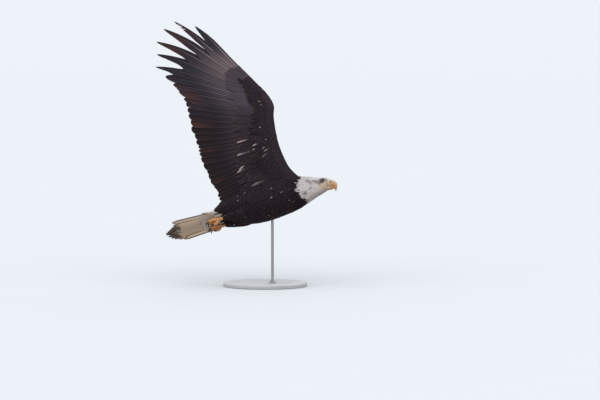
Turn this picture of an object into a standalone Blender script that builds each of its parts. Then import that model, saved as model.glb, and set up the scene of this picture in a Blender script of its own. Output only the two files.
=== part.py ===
"""A life-size bald eagle in flight, wings raised, on a plain display stand.

The bird is modelled level in its own frame, in metres: +X to the bill, +Y to its left, +Z up, with the
origin on the trunk's axis. One empty then pitches and banks it above the stand, whose underside is z = 0.
Feathers are thin closed plates. Head, neck and trunk are one smooth form parted by thin plane gaps.
"""

import math

import bpy
import numpy as np
from mathutils import Matrix, Vector

GAP = 0.0003  # left between pieces that touch

# How the bird is held
PITCH = math.radians(16.0)  # nose up
BANK = math.radians(28.0)  # right wing up, belly towards the viewer's side
BIRD_AT = (0.035, -0.045, 0.420)

# Trunk, neck and head: x, z, tilt of the section in degrees, half width, height above, depth below
BODY_STATIONS = (
    (-0.268, -0.004, 0.0, 0.057, 0.032, 0.017),
    (-0.215, -0.002, 0.0, 0.074, 0.064, 0.046),
    (-0.139, 0.000, 0.0, 0.086, 0.081, 0.082),
    (-0.050, 0.000, 0.0, 0.093, 0.092, 0.094),
    (0.040, -0.001, 0.0, 0.090, 0.088, 0.088),
    (0.110, -0.003, 0.0, 0.078, 0.078, 0.077),
    (0.152, -0.002, -2.0, 0.064, 0.067, 0.067),
    (0.188, -0.002, -7.0, 0.051, 0.054, 0.058),
    (0.214, -0.006, -13.0, 0.043, 0.046, 0.047),
    (0.240, -0.007, -17.5, 0.0370, 0.0393, 0.0400),
    (0.255, -0.0075, -17.5, 0.0315, 0.0348, 0.0345),
    (0.2689, -0.009, -17.5, 0.0230, 0.0303, 0.0300),
)
TRUNK_SPAN, NECK_SPAN, HEAD_SPAN = (0.0, 5.6), (5.6, 7.6), (7.6, 11.0)  # in stations

BODY_SIDES = 24

# Head frame: level with the horizon, its origin midway between the brows
HEAD_AT = (0.248, 0.0178)
HEAD_TILT = math.radians(-17.5)
EYE_AT = (0.0055, 0.0278, -0.0142)
EYE_RADIUS = 0.0106
BROW_HEIGHT, EYE_HOLLOW = 0.0030, 0.0030

# Bill, in the head frame: x, z, half width, half height
UPPER_BILL = (
    (0.0277, -0.0100, 0.0160, 0.0212),
    (0.0430, -0.0112, 0.0140, 0.0192),
    (0.0570, -0.0150, 0.0115, 0.0165),
    (0.0665, -0.0230, 0.0090, 0.0122),
    (0.0712, -0.0335, 0.0063, 0.0068),
    (0.0727, -0.0430, 0.0036, 0.0040),
    (0.0722, -0.0520, 0.0009, 0.0009),
)
LOWER_BILL = (
    (0.0277, -0.0395, 0.0125, 0.0062),
    (0.0410, -0.0372, 0.0098, 0.0052),
    (0.0545, -0.0358, 0.0060, 0.0034),
    (0.0600, -0.0356, 0.0022, 0.0018),
)

# Legs, folded back under the tail: x, distance from the midline, z, radius
THIGH = ((-0.085, 0.050, -0.046, 0.022), (-0.150, 0.048, -0.045, 0.027),
         (-0.205, 0.042, -0.043, 0.021), (-0.243, 0.037, -0.0425, 0.012))
SHANK = ((-0.247, 0.0363, -0.0428, 0.0084), (-0.257, 0.0362, -0.0432, 0.0080), (-0.2675, 0.036, -0.0434, 0.0088))
PAD_AT, PAD_RADIUS = (-0.279, 0.036, -0.0435), 0.0112
LEFT_FOOT_DROP = 0.008  # the left foot hangs this much lower
# Toes from the pad, y away from the midline: the path's points and the radius at each end
TOES = {
    "inner": (((0.002, -0.003, 0), (-0.018, -0.0125, 0.001), (-0.038, -0.0130, -0.002)), 0.0080, 0.0062),
    "middle": (((0, 0, 0.001), (-0.023, -0.0005, 0.004), (-0.046, 0.000, 0.000)), 0.0082, 0.0064),
    "outer": (((0.002, 0.003, 0), (-0.017, 0.0120, 0.001), (-0.036, 0.0130, -0.002)), 0.0076, 0.0058),
    "hind": (((0.002, -0.001, -0.003), (-0.002, -0.002, -0.013), (-0.016, -0.002, -0.0165)), 0.0076, 0.0060),
}
CLAW_LENGTH = 0.023
CLAW_RADIUS = 0.0042
CLAW_BEND, HIND_CLAW_BEND = 125.0, 75.0
CLAW_CURLS_TO, HIND_CLAW_CURLS_TO = (0.45, 0.0, -1.0), (-0.9, 0.0, 0.35)
CLAW_FORM = (1.0, 0.93, 0.74, 0.48, 0.16)  # its thickness from the toe to the point

# Tail: its root, droop and twist (right edge up), and each feather's length and how far its tip is to the
# left, from the right edge to the left one
TAIL_AT = (-0.250, 0.0, -0.0235)
TAIL_DROOP = math.radians(0.5)
TAIL_TWIST = math.radians(12.0)
TAIL_TIPS = ((0.237, -0.078), (0.237, -0.052), (0.250, -0.036), (0.262, -0.024), (0.274, -0.013), (0.284, -0.002),
             (0.284, 0.012), (0.277, 0.030), (0.266, 0.044), (0.252, 0.056), (0.230, 0.066), (0.208, 0.075))
TAIL_ROOT_HALF = 0.060  # where the outer feathers' shafts start
TAIL_FEATHER_HALF = 0.009  # the outer feathers' outer vanes
TAIL_NOTCH = 0.022  # between the right outer feather and the next
TAIL_VISIBLE_FROM = 0.098  # the coverts hide the feathers before this
TAIL_COVERTS = ((-0.2683, 0.060, 0.042, 0.009), (-0.300, 0.070, 0.026, 0.0075), (-0.347, 0.0765, 0.0045, 0.0040))

# Wing plan on the flattened wing: distance out from the shoulder, distance forward of the bird's origin
SHOULDER = (0.060, 0.055)  # out from the midline, and up
WING_RISE = math.radians(72.0)  # elevation at the shoulder
WING_CURL = math.radians(20.0)  # more elevation for each metre of span
WING_CAMBER, CAMBER_TOP = 0.30, 0.03  # how fast the wing falls away, per metre, on each side of this chord
LEADING_EDGE = ((-0.020, 0.163), (0.017, 0.137), (0.070, 0.116), (0.180, 0.1035), (0.300, 0.115),
                (0.355, 0.131), (0.416, 0.116), (0.482, 0.081), (0.600, 0.018))
COVERT_EDGE = ((-0.020, -0.114), (0.100, -0.118), (0.200, -0.088), (0.300, -0.068), (0.430, -0.056),
               (0.500, -0.066), (0.552, -0.064), (0.578, -0.040), (0.595, -0.004))
ARM_START, ELBOW_SPAN, WRIST_SPAN, HAND_SPAN = -0.018, 0.155, 0.360, 0.592
WING_THICK = ((-0.02, 0.040), (0.10, 0.036), (0.22, 0.028), (0.36, 0.022), (0.48, 0.014), (0.60, 0.006))
WING_EDGE_THICK = 0.0028
ABOVE_SHARE = 0.55  # of the arm's thickness

ALULA_ROOT, ALULA_TIP = (0.392, 0.098), (0.505, 0.040)
ALULA_HALF, ALULA_THICK = 0.0105, 0.0016

# Flight feathers: the ten primaries' roots run in a line, and their tips are given from the outermost in
PRIMARY_ROOTS = ((0.529, 0.044), (0.355, 0.081))
PRIMARY_TIPS = ((0.860, -0.134), (0.915, -0.225), (0.892, -0.284), (0.836, -0.333), (0.771, -0.347),
                (0.709, -0.368), (0.645, -0.333), (0.594, -0.307), (0.551, -0.289), (0.504, -0.272))
FINGERS = 6  # the outer primaries, which part at the tip
FINGER_SLOTS = (0.69, 0.62, 0.63, 0.73, 0.79, 0.86)  # where each parts from the next, along its length
SECONDARIES = 20
SECONDARY_ROOTS = ((0.345, 0.078), (0.250, 0.035), (0.150, -0.022), (0.050, -0.010))
SECONDARY_TIPS = ((0.480, -0.266), (0.380, -0.272), (0.270, -0.271), (0.210, -0.277),
                  (0.105, -0.258), (0.045, -0.244), (-0.012, -0.240))
FINGER_LEADS = (0.0105, 0.0120, 0.0165, 0.0165, 0.0165, 0.0150)  # width of each finger's two vanes
FINGER_TRAIL = 0.0200
FINGER_FULL = 0.030  # how much wider a vane would grow below its slot, were its neighbour not there
SLOT_EASE = 0.14  # the share of a feather's length over which it narrows at its slot
POINT_SHARE, POINT_FORM = 0.30, 0.62  # the share that narrows to the tip, and how blunt it is
INNERMOST_HALF = 0.016
SCALLOP = 0.008
COVERT_ROOM = 0.0012  # between the coverts' edge and the vanes that come out behind it
VANE_THICK, TIP_THICK = 0.0026, 0.0012

# How the left wing differs from the right: it is held a little closer, as on the inside of a turn
LEFT_RISE = math.radians(-2.0)
LEFT_WRIST_BACK = 0.034
LEFT_HAND_TURN = math.radians(15.5)  # the outer primaries reach forward again
LEFT_ARM_TURN = math.radians(14.0)
LEFT_FAN = 0.87  # the fan of primaries is this much closed
LEFT_TWIST = 0.10
LEFT_DRAWN_IN = 0.19  # the innermost feathers show this much less

# Stand
BASE_RADIUS, BASE_HEIGHT, BASE_BEVEL = 0.200, 0.018, 0.003
ROD_RADIUS, ROD_BEVEL = 0.0065, 0.002
BELLY_DEPTH = 0.106  # of the belly's skin, straight below the bird's axis
ROD_SINK = 0.030  # how far the rod goes up into the belly
COLLAR_RADIUS, COLLAR_HEIGHT, COLLAR_BEVEL = 0.017, 0.012, 0.005

COLOURS = {  # base colour, roughness, metallic
    "brown_plumage": ((0.030, 0.022, 0.020), 0.75, 0.0),
    "flight_feathers": ((0.050, 0.040, 0.040), 0.60, 0.0),
    "white_plumage": ((0.72, 0.69, 0.64), 0.80, 0.0),
    "tail_feathers": ((0.62, 0.55, 0.44), 0.70, 0.0),
    "bill_horn": ((0.78, 0.50, 0.16), 0.35, 0.0),
    "foot_skin": ((0.80, 0.50, 0.14), 0.55, 0.0),
    "claw_horn": ((0.020, 0.018, 0.018), 0.30, 0.0),
    "eye": ((0.60, 0.52, 0.30), 0.10, 0.0),
    "stand_lacquer": ((0.55, 0.56, 0.58), 0.50, 0.0),
    "stand_steel": ((0.60, 0.60, 0.60), 0.35, 1.0),
}


def clear_scene():
    for obj in list(bpy.data.objects):
        bpy.data.objects.remove(obj)


def material(name):
    """The named Principled material, made the first time it is asked for."""
    found = bpy.data.materials.get(name)
    if found:
        return found
    colour, roughness, metallic = COLOURS[name]
    made = bpy.data.materials.new(name)
    made.use_nodes = True
    shader = made.node_tree.nodes["Principled BSDF"]
    shader.inputs["Base Color"].default_value = (*colour, 1.0)
    shader.inputs["Roughness"].default_value = roughness
    shader.inputs["Metallic"].default_value = metallic
    return made


def smooth(t):
    """A soft step from 0 to 1 as t goes from 0 to 1."""
    t = np.clip(t, 0.0, 1.0)
    return t * t * (3 - 2 * t)


def along(points, at):
    """Catmull-Rom curve through rows of points, read at station numbers."""
    points = np.asarray(points, float)
    at = np.clip(np.asarray(at, float), 0, len(points) - 1)
    i = np.minimum(at.astype(int), len(points) - 2)
    t = (at - i)[:, None]
    p = np.vstack([2 * points[0] - points[1], points, 2 * points[-1] - points[-2]])
    a, b, c, d = p[i], p[i + 1], p[i + 2], p[i + 3]
    return 0.5 * (2 * b + (c - a) * t + (2 * a - 5 * b + 4 * c - d) * t**2 + (3 * b - a - 3 * c + d) * t**3)


def graph(points, x):
    """The curve through (x, y) points read as y for given x."""
    fine = along(points, np.linspace(0, len(points) - 1, 40 * len(points)))
    order = np.argsort(fine[:, 0])
    return np.interp(x, fine[order, 0], fine[order, 1])


def build(name, vertices, faces, finish, parent=None, rounded=True):
    """One object from vertices and faces, turned right side out."""
    corners = np.asarray(vertices, float)
    volume = 0.0
    for face in faces:
        for k in range(1, len(face) - 1):
            volume += np.dot(corners[face[0]], np.cross(corners[face[k]], corners[face[k + 1]]))
    if volume < 0:
        faces = [tuple(reversed(face)) for face in faces]
    mesh = bpy.data.meshes.new(name)
    mesh.from_pydata(corners.tolist(), [], faces)
    mesh.materials.append(material(finish))
    if rounded:
        mesh.shade_smooth()
        mesh.set_sharp_from_angle(angle=math.radians(50))
    obj = bpy.data.objects.new(name, mesh)
    bpy.context.scene.collection.objects.link(obj)
    obj.parent = parent
    return obj


def loft(rings):
    """Vertices and faces of a closed form through rings of equal count, capped flat at both ends."""
    rings = np.asarray(rings, float)
    count, sides = rings.shape[:2]
    faces = []
    for i in range(count - 1):
        for j in range(sides):
            k = (j + 1) % sides
            faces.append((i * sides + j, i * sides + k, (i + 1) * sides + k, (i + 1) * sides + j))
    faces.append(tuple(reversed(range(sides))))
    faces.append(tuple((count - 1) * sides + j for j in range(sides)))
    return rings.reshape(-1, 3), faces


def slab(top, bottom):
    """Vertices and faces of a closed sheet between two grids of points."""
    rows, cols = top.shape[:2]
    size = rows * cols
    faces = []
    for i in range(rows - 1):
        for j in range(cols - 1):
            a, b, c, d = i * cols + j, i * cols + j + 1, (i + 1) * cols + j + 1, (i + 1) * cols + j
            faces.append((a, b, c, d))
            faces.append((size + d, size + c, size + b, size + a))
    rim = [j for j in range(cols)]
    rim += [i * cols + cols - 1 for i in range(1, rows)]
    rim += [(rows - 1) * cols + j for j in range(cols - 2, -1, -1)]
    rim += [i * cols for i in range(rows - 2, 0, -1)]
    for a, b in zip(rim, rim[1:] + rim[:1]):
        faces.append((b, a, size + a, size + b))
    return np.vstack([top.reshape(-1, 3), bottom.reshape(-1, 3)]), faces


def cut(obj, cutter):
    """A Boolean difference, left live on the object."""
    modifier = obj.modifiers.new("cut_" + cutter.name, "BOOLEAN")
    modifier.operation = "DIFFERENCE"
    modifier.solver = "EXACT"
    modifier.object = cutter


def helper(obj):
    """Marks a cutter, which is no part of the bird."""
    obj.hide_render = True
    obj.display_type = "WIRE"
    return obj


# ---- body -------------------------------------------------------------------------------------------


def body_rings(at, sides, grow=0.0):
    """Rings of the body at station numbers: two half ellipses, with a brow and an eye hollow on the head."""
    at = np.asarray(at, float)
    x, z, tilt, half, above, below = along(BODY_STATIONS, at).T[:, :, None]
    tilt = np.radians(tilt)
    angle = np.linspace(0, 2 * math.pi, sides, endpoint=False)[None, :]
    rise = np.where(np.sin(angle) >= 0, above, below) + grow
    near_eye = np.exp(-(((at[:, None] - 9.40) / 0.75) ** 2))
    for side in (0.0, math.pi):
        turn = np.cos(angle - side)
        height = np.sin(angle)
        brow = BROW_HEIGHT * np.exp(-(((height - 0.62) / 0.16) ** 2)) * (turn > 0)
        hollow = EYE_HOLLOW * np.exp(-(((height - 0.20) / 0.24) ** 2)) * (turn > 0)
        half = half + near_eye * (brow - hollow)
    out = (half + grow) * np.cos(angle)
    up = rise * np.sin(angle)
    return np.stack([x - up * np.sin(tilt), out, z + up * np.cos(tilt)], axis=-1)


def make_body(bird):
    parts = (
        ("trunk", TRUNK_SPAN, 12, "brown_plumage"),
        ("neck", NECK_SPAN, 7, "white_plumage"),
        ("head", HEAD_SPAN, 11, "white_plumage"),
    )
    made = {}
    for name, (start, end), count, finish in parts:
        rings = body_rings(np.linspace(start, end, count), BODY_SIDES)
        if start > 0:
            rings[0, :, 0] += GAP
        made[name] = build(name, *loft(rings), finish, bird)
    whole = body_rings(np.linspace(0, HEAD_SPAN[1], 40), BODY_SIDES, grow=0.0008)
    whole[0, :, 0] -= 0.002
    made["whole"] = helper(build("cutter_body", *loft(whole), "brown_plumage", bird))
    return made


def head_to_bird(points):
    """Points given in the head frame, in the bird's."""
    x, y, z = np.moveaxis(np.asarray(points, float), -1, 0)
    forward = HEAD_AT[0] + x * math.cos(HEAD_TILT) - z * math.sin(HEAD_TILT)
    up = HEAD_AT[1] + x * math.sin(HEAD_TILT) + z * math.cos(HEAD_TILT)
    return np.stack([forward, y, up], axis=-1)


def swept_rings(stations, count, sides):
    """Elliptical rings square to a path in the x-z plane: rows of x, z, half width, half height."""
    at = np.linspace(0, len(stations) - 1, count)
    x, z, half, rise = along(stations, at).T
    slope = np.arctan2(np.gradient(z), np.gradient(x))[:, None]
    angle = np.linspace(0, 2 * math.pi, sides, endpoint=False)[None, :]
    up = rise[:, None] * np.sin(angle)
    out = half[:, None] * np.cos(angle)
    return np.stack([x[:, None] - up * np.sin(slope), out, z[:, None] + up * np.cos(slope)], axis=-1)


def make_bill(bird):
    ahead, above = BODY_STATIONS[-1][0] - HEAD_AT[0], BODY_STATIONS[-1][1] - HEAD_AT[1]
    face = ahead * math.cos(HEAD_TILT) + above * math.sin(HEAD_TILT)  # the head's flat front
    for name, stations, count in (("bill_upper", UPPER_BILL, 12), ("bill_lower", LOWER_BILL, 6)):
        rings = swept_rings(stations, count, 14)
        rings[0, :, 0] = face + GAP
        build(name, *loft(head_to_bird(rings)), "bill_horn", bird)


def ball(name, centre, radius, finish, parent, rings=9, sides=14):
    """A faceted sphere with its poles at the top and bottom."""
    turn = np.linspace(0, math.pi, rings + 1)[1:-1, None]
    round_ = np.linspace(0, 2 * math.pi, sides, endpoint=False)[None, :]
    flat = np.sin(turn) * np.ones_like(round_)
    grid = np.stack([flat * np.cos(round_), flat * np.sin(round_), np.cos(turn) + 0 * round_], axis=-1)
    vertices, faces = loft(grid)
    poles = np.array([[0, 0, 1], [0, 0, -1]])
    top, bottom, last = len(vertices), len(vertices) + 1, (rings - 2) * sides
    faces = faces[:-2]
    faces += [(j, top, (j + 1) % sides) for j in range(sides)]
    faces += [(last + (j + 1) % sides, bottom, last + j) for j in range(sides)]
    points = np.vstack([vertices, poles]) * radius + np.asarray(centre)
    return build(name, points, faces, finish, parent)


def make_eyes(bird, head):
    for name, side in (("eye_left", 1), ("eye_right", -1)):
        centre = head_to_bird((EYE_AT[0], side * EYE_AT[1], EYE_AT[2]))
        ball(name, centre, EYE_RADIUS, "eye", bird)
        cut(head, helper(ball("cutter_" + name, centre, EYE_RADIUS + GAP, "eye", bird)))


# ---- legs -------------------------------------------------------------------------------------------


def rings_on(centre, ahead, radius, sides):
    """Round rings about each centre, square to the way ahead."""
    radius = np.asarray(radius, float).reshape(-1, 1)
    ahead = ahead / np.linalg.norm(ahead, axis=1, keepdims=True)
    across = np.cross(ahead, (0.0, 1.0, 0.05))  # no path here runs this way
    across /= np.linalg.norm(across, axis=1, keepdims=True)
    other = np.cross(ahead, across)
    angle = np.linspace(0, 2 * math.pi, sides, endpoint=False)[None, :, None]
    return centre[:, None] + radius[:, None] * (np.cos(angle) * across[:, None] + np.sin(angle) * other[:, None])


def tube(name, path, radii, finish, parent, count=6, sides=10):
    """A round form along a curve through points."""
    at = np.linspace(0, len(path) - 1, count)
    radius = along(np.asarray(radii, float)[:, None], np.linspace(0, len(radii) - 1, count))
    ahead = along(path, at + 0.01) - along(path, at - 0.01)
    return build(name, *loft(rings_on(along(path, at), ahead, radius, sides)), finish, parent)


def make_leg(bird, body, label, side):
    mirror = np.array((1, side, 1))
    thigh, shank, pad = (np.array(rows) for rows in (THIGH, SHANK, PAD_AT))
    drop = LEFT_FOOT_DROP if side > 0 else 0.0
    thigh[:, 2] -= drop * np.array((0, 0.25, 0.7, 1))
    shank[:, 2] -= drop
    pad[2] -= drop
    piece = tube(f"thigh_{label}", thigh[:, :3] * mirror, thigh[:, 3], "brown_plumage", bird, 9, 12)
    cut(piece, body["whole"])
    way = (thigh[-1, :3] - thigh[-2, :3]) * mirror
    path = np.vstack([thigh[-1:, :3] * mirror + GAP * way / np.linalg.norm(way), shank[:, :3] * mirror])
    ahead = np.vstack([way, path[2:] - path[:-2], path[-1] - path[-2]])
    rings = rings_on(path, ahead, np.append(thigh[-1, 3] * 0.95, shank[:, 3]), 12)
    build(f"shank_{label}", *loft(rings), "foot_skin", bird)
    pad = pad * mirror
    foot = ball(f"foot_{label}", pad, PAD_RADIUS, "foot_skin", bird, 7, 10)
    for toe, (path, thick, thin) in TOES.items():
        path = pad + np.asarray(path) * mirror
        finger = helper(tube(f"toe_{toe}_{label}", path, (thick, thin), "foot_skin", bird, 5, 7))
        join = foot.modifiers.new("join_" + toe, "BOOLEAN")
        join.operation = "UNION"
        join.solver = "EXACT"
        join.object = finger
        make_claw(bird, f"claw_{toe}_{label}", path)


def make_claw(bird, name, path):
    """A claw that carries on from the toe's end and curls in."""
    end = path[-1]
    ahead = path[-1] - path[-2]
    ahead /= np.linalg.norm(ahead)
    hind = "hind" in name
    down = np.array(HIND_CLAW_CURLS_TO if hind else CLAW_CURLS_TO)
    down -= ahead * np.dot(down, ahead)
    down /= np.linalg.norm(down)
    bend = np.radians(np.linspace(0, HIND_CLAW_BEND if hind else CLAW_BEND, 5))[:, None]
    radius = CLAW_LENGTH / bend[-1]
    points = end + ahead * GAP + radius * (np.sin(bend) * ahead + (1 - np.cos(bend)) * down)
    way = np.cos(bend) * ahead + np.sin(bend) * down
    build(name, *loft(rings_on(points, way, CLAW_RADIUS * np.array(CLAW_FORM), 6)), "claw_horn", bird)


# ---- tail -------------------------------------------------------------------------------------------


def tail_point(back, out, rise):
    """A point on the tail: distance back from its root, out to the left, and up from its plane."""
    back, out, rise = np.broadcast_arrays(back, out, rise)
    x = TAIL_AT[0] - back * math.cos(TAIL_DROOP)
    twist = TAIL_TWIST * smooth((back - 0.02) / 0.06)  # it comes in behind the rump
    y = out * np.cos(twist) + rise * np.sin(twist)
    z = TAIL_AT[2] - back * math.sin(TAIL_DROOP) - out * np.sin(twist) + rise * np.cos(twist)
    return np.stack([x, y, z], axis=-1)


def tail_shafts():
    """Root and tip of the twelve tail feathers, from the right edge to the left, as (back, out)."""
    roots = np.stack([np.zeros(12), np.linspace(-1, 1, 12) * TAIL_ROOT_HALF], axis=1)
    return roots, np.array(TAIL_TIPS)


def make_tail(bird):
    roots, tips = tail_shafts()
    rank = np.arange(12)
    for name, first, last in (("tail_feathers_right", 0, 6), ("tail_feathers_left", 6, 12)):
        grid = []
        for place in np.arange(first, last + 0.25, 0.5) - 0.5:
            inside = min(max(place, 0), 11)
            root, tip = ([np.interp(inside, rank, ends[:, k]) for k in (0, 1)] for ends in (roots, tips))
            between = place != round(place)
            short = (TAIL_NOTCH if place == 0.5 else SCALLOP) if between else 0.0
            edge = (place - inside) * 2 * TAIL_FEATHER_HALF
            edge += 0.5 * GAP * (1 if place == first - 0.5 else -1 if place == last - 0.5 else 0)
            length = tip[0] - short
            back = TAIL_VISIBLE_FROM + (length - TAIL_VISIBLE_FROM) * np.array((0, 0.3, 0.6, 0.85, 0.95, 1))
            spread = (back / tip[0]) ** 0.75
            grid.append(np.stack([back, root[1] + (tip[1] - root[1]) * spread + edge], axis=1))
        grid = np.stack(grid, axis=1)
        half = np.linspace(VANE_THICK, TIP_THICK, grid.shape[0])[:, None] / 2
        top = tail_point(grid[..., 0], grid[..., 1], half)
        bottom = tail_point(grid[..., 0], grid[..., 1], -half)
        build(name, *slab(top, bottom), "tail_feathers", bird)


def make_tail_coverts(bird):
    """The white wedge between the rump and the tail feathers: flattened half ellipses."""
    x, half, above, below = along(TAIL_COVERTS, np.linspace(0, 2, 7)).T[:, :, None]
    angle = np.linspace(0, 2 * math.pi, 18, endpoint=False)[None, :]
    rise = np.where(np.sin(angle) >= 0, above, below) * np.sin(angle)
    back = TAIL_AT[0] - x
    rings = tail_point(back, half * np.cos(angle), rise)
    rings[0, :, 0] = TAIL_COVERTS[0][0]
    build("tail_coverts", *loft(rings), "white_plumage", bird)


# ---- wings ------------------------------------------------------------------------------------------


def wing_point(side, span, chord, rise):
    """A point of the flattened wing in the bird's frame. side is 1 for the left wing and -1 for the right."""
    span, chord, rise = np.broadcast_arrays(span, chord, rise)
    start = WING_RISE + (LEFT_RISE if side > 0 else 0.0)
    turn = start + WING_CURL * span
    out = SHOULDER[0] + (np.sin(turn) - math.sin(start)) / WING_CURL
    up = SHOULDER[1] + (math.cos(start) - np.cos(turn)) / WING_CURL
    camber = WING_CAMBER * (1 - smooth((span - 0.35) / 0.40))
    rise = rise - camber * (chord - CAMBER_TOP) ** 2
    if side > 0:
        rise = rise + LEFT_TWIST * span * (chord - CAMBER_TOP)
    return np.stack([chord, side * (out - rise * np.sin(turn)), up + rise * np.cos(turn)], axis=-1)


def bend(side, span):
    """How far forward of the right wing's plan the left one's lies, out along the span."""
    if side < 0:
        return 0.0 * np.asarray(span, float)
    back = LEFT_WRIST_BACK * smooth(np.asarray(span) / (1.6 * WRIST_SPAN) + 0.10)
    return math.tan(LEFT_HAND_TURN) * np.maximum(span - WRIST_SPAN, 0) ** 2 / 0.25 - back


def flight_shafts(side):
    """Root and tip of every flight feather on the flattened wing, from the outermost primary in."""
    share = np.linspace(0, 1, len(PRIMARY_TIPS))[:, None]
    outer = (1 - share) * np.array(PRIMARY_ROOTS[0]) + share * np.array(PRIMARY_ROOTS[1])
    inner = along(SECONDARY_ROOTS, np.linspace(0, len(SECONDARY_ROOTS) - 1, SECONDARIES))
    roots = np.vstack([outer, inner])
    ends = along(SECONDARY_TIPS, np.linspace(0, len(SECONDARY_TIPS) - 1, SECONDARIES))
    tips = np.vstack([PRIMARY_TIPS, ends])
    if side > 0:
        reach = tips - roots
        length, angle = np.hypot(*reach.T), np.arctan2(reach[:, 0], -reach[:, 1])
        first = len(PRIMARY_TIPS) - 1
        fan = np.where(np.arange(len(roots)) < first, angle[first] + (angle - angle[first]) * LEFT_FAN, angle)
        mean = 0.5 * (LEFT_ARM_TURN + LEFT_HAND_TURN)
        at = (0.0, ELBOW_SPAN, WRIST_SPAN, PRIMARY_ROOTS[0][0])
        fan += np.interp(roots[:, 0], at, (0.0, LEFT_ARM_TURN, mean, LEFT_HAND_TURN))
        length = length * (1 - LEFT_DRAWN_IN * (1 - smooth(roots[:, 0] / 0.25)))
        roots = roots + np.stack([0 * length, bend(side, roots[:, 0])], axis=1)
        tips = roots + length[:, None] * np.stack([np.sin(fan), -np.cos(fan)], axis=1)
    return roots, tips


def arm_edges(side, span):
    """The leading edge and the rear edge of the coverts at a place out along the span."""
    return graph(LEADING_EDGE, span) + bend(side, span), graph(COVERT_EDGE, span) + bend(side, span)


def covered(side, points):
    """True where the coverts' solid reaches, with a little room."""
    behind = points[:, 1] < arm_edges(side, points[:, 0])[1] - COVERT_ROOM
    return ~(behind | (points[:, 0] > HAND_SPAN + COVERT_ROOM))


def column(side, line, rows):
    """Shares along a feather's line, spread by rows from where it leaves the coverts to its end."""
    t = np.linspace(0.05, 1, 1200)
    start = t[np.nonzero(covered(side, line(t[:, None])))[0].max() + 1]
    return (start + (1 - start) * np.asarray(rows))[:, None]


def vane_taper(t):
    """How wide a vane is along its length, 1 until it narrows over the last share to a point."""
    return np.clip((1 - t) / POINT_SHARE, 0, 1) ** POINT_FORM


def finger_line(roots, tips, j, step, limit):
    """One edge of an outer primary: it keeps to its own side of its neighbour, and narrows at the slot."""
    root, reach = roots[j], tips[j] - roots[j]
    ahead = reach / np.linalg.norm(reach)
    forward = np.array((-ahead[1], ahead[0]))
    slot = FINGER_SLOTS[max(j + min(step, 0), 0)] if j or step > 0 else 0.0

    def line(t):
        axis = root + reach * t
        if not step:
            return axis
        wide = (limit + FINGER_FULL * (1 - smooth((t - slot) / SLOT_EASE + 1))) * vane_taper(t)
        if j + step >= 0:
            gap = roots[j + step] + (tips[j + step] - roots[j + step]) * t - axis
            wide = np.minimum(wide, np.abs(gap @ forward)[:, None] / 2 - GAP)
        return axis - forward * step * np.maximum(wide, TIP_THICK / 2)

    return line


def make_finger(bird, side, label, j, roots, tips):
    """One outer primary as a closed vane of three columns."""
    rows = np.concatenate([np.linspace(0, 0.80, 6), (0.90, 0.96, 1.0)])
    sides = ((-1, FINGER_LEADS[j]), (0, 0), (1, FINGER_TRAIL))
    lines = [finger_line(roots, tips, j, step, limit) for step, limit in sides]
    grid = np.stack([line(column(side, line, rows)) for line in lines], axis=1)
    half = np.linspace(VANE_THICK, TIP_THICK, len(rows))[:, None] / 2
    top = wing_point(side, grid[..., 0], grid[..., 1], half)
    bottom = wing_point(side, grid[..., 0], grid[..., 1], -half)
    build(f"primary_{10 - j}_{label}", *slab(top, bottom), "flight_feathers", bird)


def make_panel(bird, side, name, first, last, roots, tips):
    """Neighbouring feathers as one sheet with a scalloped edge, from feather first up to last."""
    rows = (0, 0.50, 0.90, 1.0)
    lines = []
    for j in range(first, last):
        for k, short in ((j - 1, SCALLOP), (j, 0.0)):
            root, tip = (roots[j] + roots[k]) / 2, (tips[j] + tips[k]) / 2
            lines.append((root, tip, short))
    if last < len(roots):
        lines.append(((roots[last - 1] + roots[last]) / 2, (tips[last - 1] + tips[last]) / 2, SCALLOP))
    else:
        inner = np.array((-INNERMOST_HALF, 0.0))
        lines.append((roots[-1] + inner, tips[-1] + inner, SCALLOP))
    grid = []
    for number, (root, tip, short) in enumerate(lines):
        inward = {0: -1, len(lines) - 1: 1}.get(number, 0) * GAP
        root = root + np.array((inward, 0.0))
        reach = (tip - root) * (1 - short / np.linalg.norm(tip - root)) + np.array((inward, 0.0))
        grid.append(root + reach * column(side, lambda t, root=root, reach=reach: root + reach * t, rows))
    grid = np.stack(grid, axis=1)
    half = np.linspace(VANE_THICK, TIP_THICK, len(rows))[:, None] / 2
    top = wing_point(side, grid[..., 0], grid[..., 1], half)
    bottom = wing_point(side, grid[..., 0], grid[..., 1], -half)
    return build(name, *slab(top, bottom), "flight_feathers", bird)


def arm_thickness(span, share):
    """How thick the arm is at a share of the way back: fullest a quarter of the way, thin at both edges."""
    form = share**0.42 * (1 - share) ** 1.05 / 0.56
    return WING_EDGE_THICK + (graph(WING_THICK, span) - WING_EDGE_THICK) * form


def arm_grid(side, spans, shares):
    """Chord and thickness over the arm: rows out along the span, columns from the leading edge back."""
    span = np.asarray(spans)[:, None]
    share = np.asarray(shares)[None, :]
    lead, rear = arm_edges(side, span)
    chord = lead + (rear - lead) * share
    return span + 0 * chord, chord, arm_thickness(span, share)


def make_arm(bird, side, label, body):
    shares = (0, 0.02, 0.08, 0.20, 0.42, 0.70, 1.0)
    parts = (
        ("wing_upper_arm", ARM_START, ELBOW_SPAN, 5),
        ("wing_forearm", ELBOW_SPAN + GAP, WRIST_SPAN, 6),
        ("wing_hand", WRIST_SPAN + GAP, HAND_SPAN, 9),
    )
    for name, start, end, count in parts:
        span, chord, thick = arm_grid(side, np.linspace(start, end, count), shares)
        top = wing_point(side, span, chord, ABOVE_SHARE * thick)
        bottom = wing_point(side, span, chord, (ABOVE_SHARE - 1) * thick)
        piece = build(f"{name}_{label}", *slab(top, bottom), "brown_plumage", bird)
        if name == "wing_upper_arm":
            cut(piece, body["whole"])


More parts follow.
